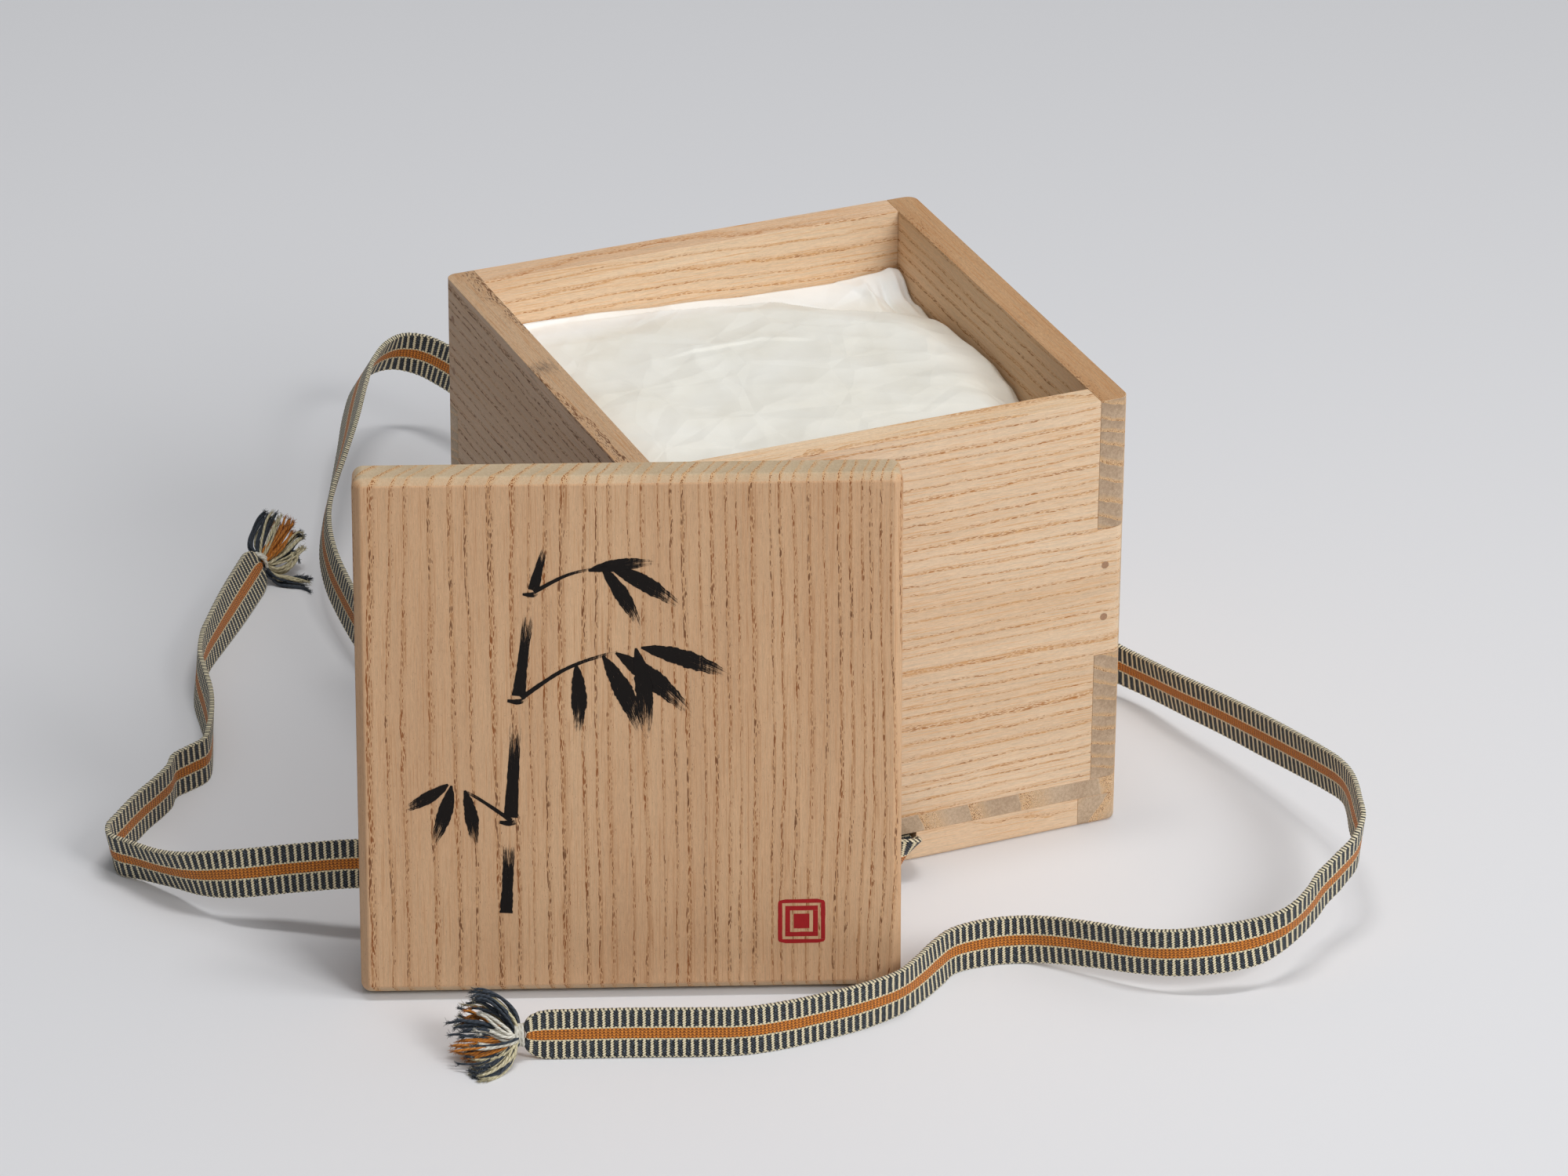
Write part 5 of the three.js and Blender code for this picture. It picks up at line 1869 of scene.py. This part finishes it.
SIDE_LOCKS = (
    Lock("nnnncnnnn", 1.4, ((-148.4, -145.6, 9), (-148.7, -144.3, 12), (-150.5, -142.4, 15.5),
        (-153.6, -139.8, 18.2), (-157.2, -138.8, 19.4), (-159, -139.3, 18.8))),
    Lock("ccnccnc", 1.6, ((-148.9, -146.2, 9), (-149.8, -143.8, 11.5), (-152, -140.8, 14.5),
        (-154.8, -138.4, 16.8), (-159.7, -138, 17))),
    Lock("nnnnccn", 1.6, ((-149.1, -146.2, 8.6), (-150.8, -143.2, 11), (-153.8, -140.1, 13.6),
        (-156.7, -138, 15.4), (-160.6, -136, 15.4))),
    Lock("ooooooooo", 1.7, ((-149.3, -146.7, 8), (-152.6, -143.3, 9.6), (-155.9, -140.1, 11.8),
        (-158.6, -138.3, 12.8), (-162.2, -138.5, 12.8))),
    Lock("nncnn", 1, ((-149.3, -146.8, 7.8), (-153.3, -143.1, 9.2), (-157.5, -139.7, 11),
        (-160.7, -137.2, 12), (-162.5, -135.2, 12.2))),
    Lock("wwww", 1, ((-149.5, -147.9, 8), (-151.7, -147.6, 8.8), (-154.1, -145.3, 10.6),
        (-156, -141.5, 12.4), (-157.5, -139.5, 13))),
    Lock("www", 0.8, ((-149.6, -148.2, 7.6), (-152.9, -148.4, 8.4), (-156.1, -145.9, 9.8),
        (-159, -144.7, 10.4), (-161.3, -144.6, 10.6))),
    Lock("nncnccn", 1.6, ((-149.5, -147.2, 7.4), (-154.2, -145.3, 8.8), (-158.5, -142.3, 10.4),
        (-162.1, -139.8, 11), (-165.2, -139, 10.8))),
    Lock("nnnnnnnnn", 2, ((-149.6, -147.7, 7), (-154.5, -146.2, 8), (-159.3, -144.4, 9),
        (-163.4, -143, 9.4), (-166.2, -142.2, 9))),
    Lock("ooooooooo", 1.6, ((-149.7, -147.7, 6.8), (-154.8, -146.8, 7), (-159.4, -145.8, 7),
        (-163.1, -144.4, 6.8), (-165.7, -142.5, 6))),
    Lock("www", 0.8, ((-150, -149.1, 7.2), (-154, -149.3, 7.4), (-157.9, -148.5, 7.4),
        (-160.3, -146.9, 7.4), (-161.2, -145.4, 7.8))),
    Lock("nncnnccn", 1.7, ((-149.8, -147.9, 6.4), (-154.6, -148.4, 5.6), (-158.8, -147.3, 5),
        (-162.3, -145.4, 4.4), (-163.9, -143.7, 4))),
    Lock("ccccc", 1, ((-149.7, -148.1, 6.2), (-153.2, -149.2, 5), (-156.8, -149.8, 3.6),
        (-160.8, -150.4, 2.4), (-163.9, -149.7, 1.6))),
    Lock("ooooo", 1.2, ((-149.7, -147.6, 6.2), (-155.1, -147.6, 5), (-160.3, -146.9, 3.8),
        (-163.4, -145, 3), (-164.9, -142.9, 2.6))),
    Lock("nnnncnn", 1.6, ((-149.7, -147.9, 5.8), (-153.6, -150.1, 4), (-158.4, -151.8, 2.4),
        (-162.4, -151.1, 1.6), (-165.7, -148.7, 1.2))),
    Lock("cncccn", 1.3, ((-149.6, -148, 5.6), (-152.7, -151, 3.6), (-157.3, -153.2, 1.8),
        (-161.7, -153.6, 1), (-164.7, -152.8, 0.8))),
    Lock("nnnnnnn", 1.3, ((-149.6, -148.1, 5.4), (-153, -152.3, 2.8), (-157.6, -154.9, 1.2),
        (-161.9, -155.3, 0.7), (-165.5, -151.1, 0.7))),
    Lock("ccccc", 1, ((-149.6, -148.1, 5.2), (-152.1, -151.8, 3), (-155.5, -154, 1.4),
        (-160.1, -156.2, 0.6), (-164.3, -156.1, 0.6))),
)


# The wrapping


@dataclass(frozen=True)
class Crease:
    """A pressed fold in paper: its ends, its height and how far it fades to either side, in mm."""

    start: tuple[float, float]
    end: tuple[float, float]
    height: float
    left: float
    right: float

    def at(self, x: float, y: float) -> float:
        """How high the fold stands at a place.

        Args:
            x: The place from the box's middle to the right, in millimetres.
            y: The place from the box's middle to the back, in millimetres.

        Returns:
            The height in millimetres.
        """
        dx, dy = self.end[0] - self.start[0], self.end[1] - self.start[1]
        size = math.hypot(dx, dy)
        along = ((x - self.start[0]) * dx + (y - self.start[1]) * dy) / size**2
        off = ((x - self.start[0]) * dy - (y - self.start[1]) * dx) / size
        near = 1.0 - abs(off) / (self.right if off > 0 else self.left)
        if not 0.0 < along < 1.0 or near <= 0.0:
            return 0.0
        return self.height * near**1.35 * math.sin(math.pi * along) ** 0.8


def between(table: Sequence[tuple[float, float]], place: float) -> float:
    """Reads a table of places and values, smoothly between its rows.

    Args:
        table: The places, rising, with their values.
        place: The place wanted.

    Returns:
        The value there.
    """
    if place <= table[0][0]:
        return table[0][1]
    for (a, low), (b, high) in zip(table, table[1:]):
        if place <= b:
            share = (place - a) / (b - a)
            return low + (high - low) * share * share * (3 - 2 * share)
    return table[-1][1]


def rise(value: float, low: float, high: float) -> float:
    """A smooth rise from 0 at low to 1 at high."""
    share = min(1.0, max(0.0, (value - low) / (high - low)))
    return share * share * (3 - 2 * share)


@dataclass
class Wrapping:
    """Thin paper folded over what the box holds: a soft crowned bundle inside the walls.

    The crown falls away from crown_middle by crown_fall for each square millimetre, and the paper
    meets the back wall at back_mm. The tables give the paper's height along its back and right
    edges, where its folded flap ends, and how deep the hollow behind the flap is, all in
    millimetres from the box's middle.
    """

    sizes: BoxSizes
    side_gap: float = 0.0008
    floor_gap: float = 0.0003
    corner: float = 0.003
    crown_mm: float = 135.6
    back_mm: float = 72.5
    crown_middle: tuple[float, float] = (-8, 4)
    crown_fall: tuple[float, float] = (0.00036, 0.0005)
    flap_drop: float = 0.8
    rim_drop: float = 2.2
    cells: int = 220
    levels: int = 12
    back_edge: Table = (
        (-72, 134.4), (-59, 133.9), (-40, 132.9), (-10, 130.9), (23, 129.1), (49, 128.4), (64, 129.4),
        (72, 130.4),
    )
    right_edge: Table = (
        (-72, 114), (-50, 118), (-30, 124.5), (-18, 128.5), (-3, 130.6), (25, 128.3), (50, 124), (61, 123),
        (67, 126.5), (72, 130),
    )
    crest: Table = (
        (-72, 71), (-59, 70.5), (-26, 66), (17, 57), (41, 42), (56, 36), (66, 37), (72, 44),
    )
    trough: Table = (
        (-72, 0), (-50, 0.3), (-26, 1.2), (17, 4.2), (41, 6.2), (60, 5.0), (72, 2),
    )
    folds: tuple[Crease, ...] = (
        Crease((-30, 26), (8, 28), 0.7, 9, 1), Crease((2, 29), (20, 20), 0.7, 7, 1),
        Crease((-36, 17), (-4, 24), 0.4, 10, 4), Crease((16, 30), (50, 4), 0.45, 13, 5),
        Crease((24, 38), (66, 14), 0.6, 7, 10), Crease((58, 70), (56, 46), 1.8, 2, 4),
        Crease((64, 69), (62, 46), -2.4, 2, 2.2), Crease((69, 74), (68, 44), 1.6, 2, 3),
        Crease((50, 74), (60, 50), 0.8, 4, 1.6), Crease((30, 6), (68, -8), 0.35, 9, 5),
        Crease((28, -12), (66, -26), 0.4, 8, 6), Crease((14, -28), (60, -44), 0.4, 9, 5),
        Crease((-50, -8), (-8, -30), 0.3, 7, 8), Crease((-62, 14), (-30, -12), 0.35, 5, 8),
        Crease((-56, 40), (-40, 8), 0.35, 8, 4), Crease((-22, 2), (26, -18), 0.3, 9, 6),
        Crease((-66, 52), (-20, 46), 0.3, 4, 8), Crease((-66, -14), (-44, -40), 0.4, 6, 6),
    )

    def build(self) -> None:
        piece = self._bundle()
        dress(piece, "wrapping", PaperFinish().make(), ["wrapping"])

    def _reach(self, x: float, y: float) -> float:
        """How much a place of a square sheet is drawn in, so that its corners are round.

        Args:
            x: The place across the sheet, from -1 to 1.
            y: The place along the sheet, from -1 to 1.

        Returns:
            The share of its distance that is left.
        """
        size = max(abs(x), abs(y))
        if size < 1e-9:
            return 1.0
        slope = min(abs(x), abs(y)) / size
        half = self.sizes.width / 2 - self.sizes.wall - self.side_gap
        inner = 1.0 - self.corner / half
        if slope <= inner:
            return 1.0
        spread = 1.0 + slope * slope
        middle = inner * (1.0 + slope)
        radius = self.corner / half
        far = (middle + math.sqrt(max(0.0, middle**2 - spread * (2 * inner**2 - radius**2)))) / spread
        return min(1.0, far)

    def _crown(self, x: float, y: float) -> float:
        """The height of the plain dome, all in millimetres."""
        (along, deep), (fall_along, fall_deep) = self.crown_middle, self.crown_fall
        return self.crown_mm - fall_along * (x - along) ** 2 - fall_deep * (y - deep) ** 2

    def _height_mm(self, x: float, y: float) -> float:
        """The paper's height at a place.

        Args:
            x: The place from the box's middle to the right, in millimetres.
            y: The place from the box's middle to the back, in millimetres.

        Returns:
            The height in millimetres.
        """
        edge = between(self.crest, x)
        top = self._crown(x, edge) - self.flap_drop
        behind = max(0.0, (y - edge) / (self.back_mm - edge))
        dome = self._crown(x, y) - self.flap_drop * rise(y, edge - 10, edge)
        if behind > 0.0:
            slope = min(1.0, behind / 0.3) ** 0.8 * (1.0 - behind)
            dome = top + (between(self.back_edge, x) - top) * behind - between(self.trough, x) * slope
        side = between(self.right_edge, y)
        dome += (side - dome) * rise(x, 48, 71.5) ** 1.6 * (1.0 - rise(y, 56, 72))
        dome -= 2.6 * rise(-x, 56, 72) * (1.0 - rise(y, 30, 66)) + 6.5 * rise(-y, 44, 72)
        creases = sum(fold.at(x, y) for fold in self.folds)
        spot = Vector((x * 0.03 + 5.0, y * 0.024, 3.0))
        soft = field_noise.noise(spot) + (0.5 - abs(field_noise.noise(spot * 2.3))) * 0.7
        fine = (0.5 - abs(field_noise.noise(spot * 5.0))) * 0.16
        return dome + creases + (soft + fine) * (1.0 - 0.7 * rise(y, 60, 72))

    def _top(self) -> list[Vector]:
        """The points of the sheet over the top, drawn in at its corners, row by row."""
        half_mm = (self.sizes.width / 2 - self.sizes.wall - self.side_gap) / MM
        points = []
        for row in range(self.cells + 1):
            for column in range(self.cells + 1):
                u, v = 2 * column / self.cells - 1, 2 * row / self.cells - 1
                pull = self._reach(u, v)
                x, y = u * pull * half_mm, v * pull * half_mm
                rim = rise(max(abs(u) - 0.06 * rise(v, 0.5, 0.9), -v), 0.95, 1.0)
                height = self._height_mm(x, y) - self.rim_drop * rim**2
                points.append(self.sizes.at(x * MM, y * MM, height * MM))
        return points

    def _bundle(self) -> Piece:
        """The closed bundle: the sheet over the top, its sides and its base."""
        s = self.sizes
        count = self.cells + 1
        points = self._top()
        faces = net(count, count, 0, False)
        border = list(range(count))
        border += [row * count + self.cells for row in range(1, count)]
        border += [self.cells * count + column for column in range(self.cells - 1, -1, -1)]
        border += [row * count for row in range(self.cells - 1, 0, -1)]
        low = s.floor + self.floor_gap
        above = border
        for level in range(1, self.levels + 1):
            share = level / self.levels
            start = len(points)
            waist = 1.0 - 0.02 * math.sin(math.pi * share) - 0.008 * share
            for number, index in enumerate(border):
                rim = points[index]
                ripple = 1.0 - 0.004 * (1 + math.sin(number * 0.23 + share * 3.0)) * math.sin(math.pi * share)
                x, y = (rim.x - s.middle.x) * waist * ripple, (rim.y - s.middle.y) * waist * ripple
                points.append(s.at(x, y, rim.z + (low - rim.z) * share))
            below = list(range(start, len(points)))
            for number in range(len(border)):
                after = (number + 1) % len(border)
                faces.append([above[number], below[number], below[after], above[after]])
            above = below
        points.append(s.at(0.0, 0.0, low))
        middle = len(points) - 1
        for number in range(len(border)):
            faces.append([middle, above[(number + 1) % len(border)], above[number]])
        return Bench.mesh("wrapping_bundle", points, faces)


# The lid's brushed motif

STAMP_ROWS = 7


@dataclass(frozen=True)
class Stroke:
    """One brush stroke on the lid's face: points across and up it, and its half widths, in mm."""

    points: Table
    widths: tuple[float, ...]


@dataclass
class Motif:
    """A plain bamboo stem with leaves in brush ink, and a red stamp of nested squares.

    lift is how far the ink lies off the wood, and layer how far one stroke lies off another. The
    stamp's rings are given by their outer and inner half widths, in millimetres.
    """

    lid: Lid
    lift: float = 0.00006
    layer: float = 0.000004
    stamp_middle: tuple[float, float] = (52.0, 22.0)
    stamp_round: float = 1.5
    stamp_rings: Table = ((7.2, 5.9), (5.0, 3.5), (2.4, 0.0))

    def build(self) -> None:
        """Builds the strokes and the stamp, which lie on the lid's face."""
        ink = InkFinish("brush_ink", srgb(17, 14, 13), 0.35).make()
        stems = self._strokes("motif_stem", STEM_STROKES)
        leaves = self._strokes("motif_leaves", LEAF_STROKES)
        for piece in (stems, leaves):
            dress(piece, "lid", ink)
        stamp = self._stamp()
        never_dry = 90.0
        red = InkFinish("stamp_red", srgb(184, 36, 40), never_dry, (0.35, 0.35, 1.0)).make()
        dress(stamp, "lid", red)

    def _strokes(self, name: str, strokes: Sequence[Stroke]) -> Piece:
        """Flat ribbons of ink along smooth lines, as one thin piece.

        Args:
            name: The piece's name.
            strokes: What is brushed.

        Returns:
            The piece.
        """
        points, faces, plane = [], [], []
        shares = (-1.0, -0.5, 0.0, 0.5, 1.0)
        for order, stroke in enumerate(strokes):
            line = smooth_line([(*p, w) for p, w in zip(stroke.points, stroke.widths)], 14)
            faces += [[a, d, c, b] for a, b, c, d in net(len(line), len(shares), len(points), False)]
            run = [0.0]
            for a, b in zip(line, line[1:]):
                run.append(run[-1] + math.dist(a[:2], b[:2]))
            for number, (x, y, half) in enumerate(line):
                before, after = beside(line, number)
                dx, dy = after[0] - before[0], after[1] - before[1]
                size = math.hypot(dx, dy) or 1.0
                rough = 1.0 + 0.16 * field_noise.noise(Vector((run[number] * 0.9, order * 3.7, 0.3)))
                for v in shares:
                    px = x - dy / size * half * v * rough
                    py = y + dx / size * half * v * rough
                    points.append(self._on_face(px, py, order))
                    plane.append((run[number] / run[-1], v))
        return Bench.mesh(name, points, faces, plane)

    def _on_face(self, x_mm: float, y_mm: float, order: int = 0) -> Vector:
        """A point on the lid's face.

        Args:
            x_mm: How far across the lid it is, in millimetres.
            y_mm: How far up the lid it is, in millimetres.
            order: The stroke's number, since later ones lie a little higher.

        Returns:
            The point.
        """
        lift = self.lid.thickness + self.lift + order * self.layer
        return self.lid.place() @ Vector((x_mm * MM, y_mm * MM, lift))

    def _stamp(self) -> Piece:
        """A rounded red square with two nested square lines left bare."""
        half = self.stamp_rings[0][0]
        limit = half - self.stamp_round
        points, faces, plane = [], [], []
        for x0, y0, x1, y1 in self._stamp_bars():
            faces += [[a, d, c, b] for a, b, c, d in net(STAMP_ROWS, STAMP_ROWS, len(points), False)]
            for column in range(STAMP_ROWS):
                for row in range(STAMP_ROWS):
                    x = x0 + (x1 - x0) * column / (STAMP_ROWS - 1)
                    y = y0 + (y1 - y0) * row / (STAMP_ROWS - 1)
                    over = math.hypot(abs(x) - limit, abs(y) - limit)
                    if abs(x) > limit and abs(y) > limit and over > self.stamp_round:
                        x = math.copysign(limit + (abs(x) - limit) * self.stamp_round / over, x)
                        y = math.copysign(limit + (abs(y) - limit) * self.stamp_round / over, y)
                    wobble = 0.12 * field_noise.noise(Vector((x * 0.8, y * 0.8, 4.2)))
                    across, up = self.stamp_middle
                    points.append(self._on_face(across + x * (1 + wobble * 0.1), up + y + wobble))
                    plane.append((x * 0.5, 0.0))
        return Bench.mesh("motif_stamp", points, faces, plane)

    def _stamp_bars(self) -> list[tuple[float, float, float, float]]:
        """The stamp's red bars, each by its lowest and highest corner, in millimetres."""
        bars = []
        for outer, inner in self.stamp_rings:
            if inner == 0.0:
                bars.append((-outer, -outer, outer, outer))
            else:
                bars += [
                    (-outer, inner, outer, outer),
                    (-outer, -outer, outer, -inner),
                    (-outer, -inner, -inner, inner),
                    (inner, -inner, outer, inner),
                ]
        return bars


def smooth_line(points: Sequence[Sequence[float]], parts: int) -> list[tuple[float, ...]]:
    """A smooth line through points of any size.

    Args:
        points: The points.
        parts: How many steps there are between two of them.

    Returns:
        The line's points.
    """
    row = [points[0], *points, points[-1]]
    line = []
    for index in range(1, len(row) - 2):
        a, b, c, d = row[index - 1 : index + 3]
        for part in range(parts + (index == len(row) - 3)):
            t = part / parts
            line.append(tuple(
                0.5 * (
                    2 * q + (r - p) * t + (2 * p - 5 * q + 4 * r - s) * t * t
                    + (3 * q - p - 3 * r + s) * t**3
                )
                for p, q, r, s in zip(a, b, c, d)
            ))
    return line


def leaf(x: float, y: float, angle: float, length: float, width: float) -> Stroke:
    """A pointed leaf in one stroke.

    Args:
        x: Where it starts, across the lid, in millimetres.
        y: Where it starts, up the lid, in millimetres.
        angle: The way that it points, in degrees from the lid's X.
        length: Its length in millimetres.
        width: Its greatest half width in millimetres.

    Returns:
        The stroke.
    """
    a = math.radians(angle)
    bend = math.radians(angle - 9)
    spots = []
    for share in (0.0, 0.18, 0.42, 0.7, 1.0):
        turn = a + (bend - a) * share
        spots.append((x + math.cos(turn) * length * share, y + math.sin(turn) * length * share))
    return Stroke(tuple(spots), (0.35, width * 0.75, width, width * 0.62, 0.05))


STEM_STROKES = (
    Stroke(((-38, 26), (-37.2, 40), (-36.6, 54)), (2.1, 1.7, 2.2)),
    Stroke(((-36.2, 57), (-35, 76), (-33.8, 93)), (2.3, 1.7, 2.1)),
    Stroke(((-33.3, 96), (-31.4, 112), (-29.2, 127)), (2.1, 1.5, 1.9)),
    Stroke(((-28.6, 129.6), (-26.4, 138), (-24, 146)), (1.8, 1.2, 0.6)),
    Stroke(((-39.6, 55.6), (-36.4, 55.2), (-33, 56.2)), (0.5, 0.9, 0.4)),
    Stroke(((-36.8, 94.6), (-33.4, 94.2), (-30.2, 95.4)), (0.5, 0.9, 0.4)),
    Stroke(((-31.8, 128.4), (-28.8, 128.2), (-26.2, 129.2)), (0.4, 0.8, 0.3)),
    Stroke(((-32.6, 95.4), (-20, 104), (-8, 108.6), (4, 111)), (0.8, 0.6, 0.5, 0.3)),
    Stroke(((-28.4, 129), (-18, 134.4), (-6, 137)), (0.7, 0.5, 0.3)),
    Stroke(((-36, 56), (-47, 64), (-55, 68)), (0.7, 0.5, 0.3)),
)

LEAF_STROKES = (
    leaf(-8, 108.6, -58, 34, 2.9), leaf(-4, 109.4, -34, 36, 3.1),
    leaf(2, 110.8, -76, 33, 2.7), leaf(3.6, 111, -12, 34, 2.8),
    leaf(-16, 106, -82, 27, 2.4), leaf(-6, 137, -24, 30, 2.6),
    leaf(-8, 136.6, -52, 26, 2.3), leaf(-12, 135.6, 14, 24, 2),
    leaf(-54, 67.6, -100, 24, 2.3), leaf(-55, 68, -142, 19, 2),
    leaf(-50, 66, -74, 22, 2.1),
)


# The studio


@dataclass
class Studio:
    """The camera, the pale floor and the soft lights."""

    sizes: BoxSizes
    camera_mm: Point = (-796.8, -1854.0, 1101.0)
    azimuth: float = math.radians(-23.295)
    elevation: float = math.radians(27.29)
    roll: float = math.radians(0.396)
    focal_px: float = 9000.0
    sensor: float = 36.0

    def camera(self) -> None:
        """Puts the camera where the photograph was taken from."""
        a, e, r = self.azimuth, self.elevation, self.roll
        ahead = Vector((-math.sin(a) * math.cos(e), math.cos(a) * math.cos(e), -math.sin(e)))
        level = Vector((math.cos(a), math.sin(a), 0.0))
        raised = level.cross(ahead)
        right = level * math.cos(r) + raised * math.sin(r)
        up = right.cross(ahead)
        data = bpy.data.cameras.new("camera")
        data.sensor_width = self.sensor
        data.lens = self.focal_px / IMAGE_WIDTH * self.sensor
        data.clip_start, data.clip_end = 0.05, 50.0
        camera = bpy.data.objects.new("camera", data)
        bpy.context.scene.collection.objects.link(camera)
        turn = Matrix((right, up, -ahead)).transposed().to_4x4()
        x, y, z = (value * MM for value in self.camera_mm)
        camera.matrix_world = Matrix.Translation(self.sizes.at(x, y, z)) @ turn
        bpy.context.scene.camera = camera

    def floor(self) -> None:
        """A wide pale floor that takes the object's shadow."""
        Bench.clear()
        bpy.ops.mesh.primitive_plane_add(size=24.0, location=(0.0, 0.0, 0.0))
        floor = bpy.context.active_object
        floor.name = "floor"
        finish = Finish("floor_sweep", 0.85)
        finish.show("Base Color", srgb(229, 229, 231))
        finish.show("Specular IOR Level", 0.2)
        floor.data.materials.append(finish.material)

    def lights(self) -> None:
        """A narrow light above, a wide one from the front right, and a soft surround."""
        self._panel("light_above", (0.1, -0.05, 1.75), (0.2, 0.7), 9.3)
        self._panel("light_front_right", (0.58, -1.74, 1.28), (0.8, 0.8), 20.0)
        world = bpy.data.worlds.new("surround")
        bpy.context.scene.world = world
        world.use_nodes = True
        self._surround(world.node_tree)
        bpy.context.scene.view_settings.view_transform = "Standard"

    @staticmethod
    def _surround(tree: bpy.types.NodeTree) -> None:
        """Gives the world a soft glow that fades towards the left, where the room is dark.

        Args:
            tree: The world's node tree.
        """
        way = tree.nodes.new("ShaderNodeTexCoord").outputs["Generated"]
        facing = tree.nodes.new("ShaderNodeVectorMath")
        facing.operation = "DOT_PRODUCT"
        facing.inputs[1].default_value = Vector((0.84, -0.3, 0.45)).normalized()
        tree.links.new(way, facing.inputs[0])
        spread = tree.nodes.new("ShaderNodeMapRange")
        for name, value in (("From Min", -0.85), ("From Max", 1.0), ("To Min", 0.0), ("To Max", 0.6)):
            spread.inputs[name].default_value = value
        tree.links.new(facing.outputs["Value"], spread.inputs["Value"])
        shade = tree.nodes["Background"]
        shade.inputs["Color"].default_value = (0.95, 0.97, 1.0, 1.0)
        tree.links.new(spread.outputs["Result"], shade.inputs["Strength"])

    def _panel(self, name: str, place: Point, size: tuple[float, float], watts: float) -> None:
        """A flat light that faces the box.

        Args:
            name: The light's name.
            place: Where it is from the box's middle.
            size: How wide and high it is.
            watts: How bright it is.
        """
        data = bpy.data.lights.new(name, "AREA")
        data.shape = "RECTANGLE"
        data.size, data.size_y = size
        data.energy = watts
        light = bpy.data.objects.new(name, data)
        bpy.context.scene.collection.objects.link(light)
        spot = self.sizes.at(*place)
        aim = self.sizes.at(0.0, 0.0, 0.07) - spot
        light.location = spot
        light.rotation_mode = "QUATERNION"
        light.rotation_quaternion = aim.to_track_quat("-Z", "Y")


def main() -> None:
    """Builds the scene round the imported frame."""
    logging.basicConfig(level=logging.INFO, format="%(name)s: %(message)s")
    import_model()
    low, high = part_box("base_board")
    sizes = BoxSizes(middle=Vector(((low.x + high.x) / 2, (low.y + high.y) / 2, 0.0)))
    studio = Studio(sizes)
    studio.camera()
    Ribbon(sizes).build()
    Carcass(sizes).build()
    lid = Lid(sizes)
    lid.build()
    Motif(lid).build()
    Wrapping(sizes).build()
    studio.floor()
    studio.lights()


if __name__ == "__main__":
    main()
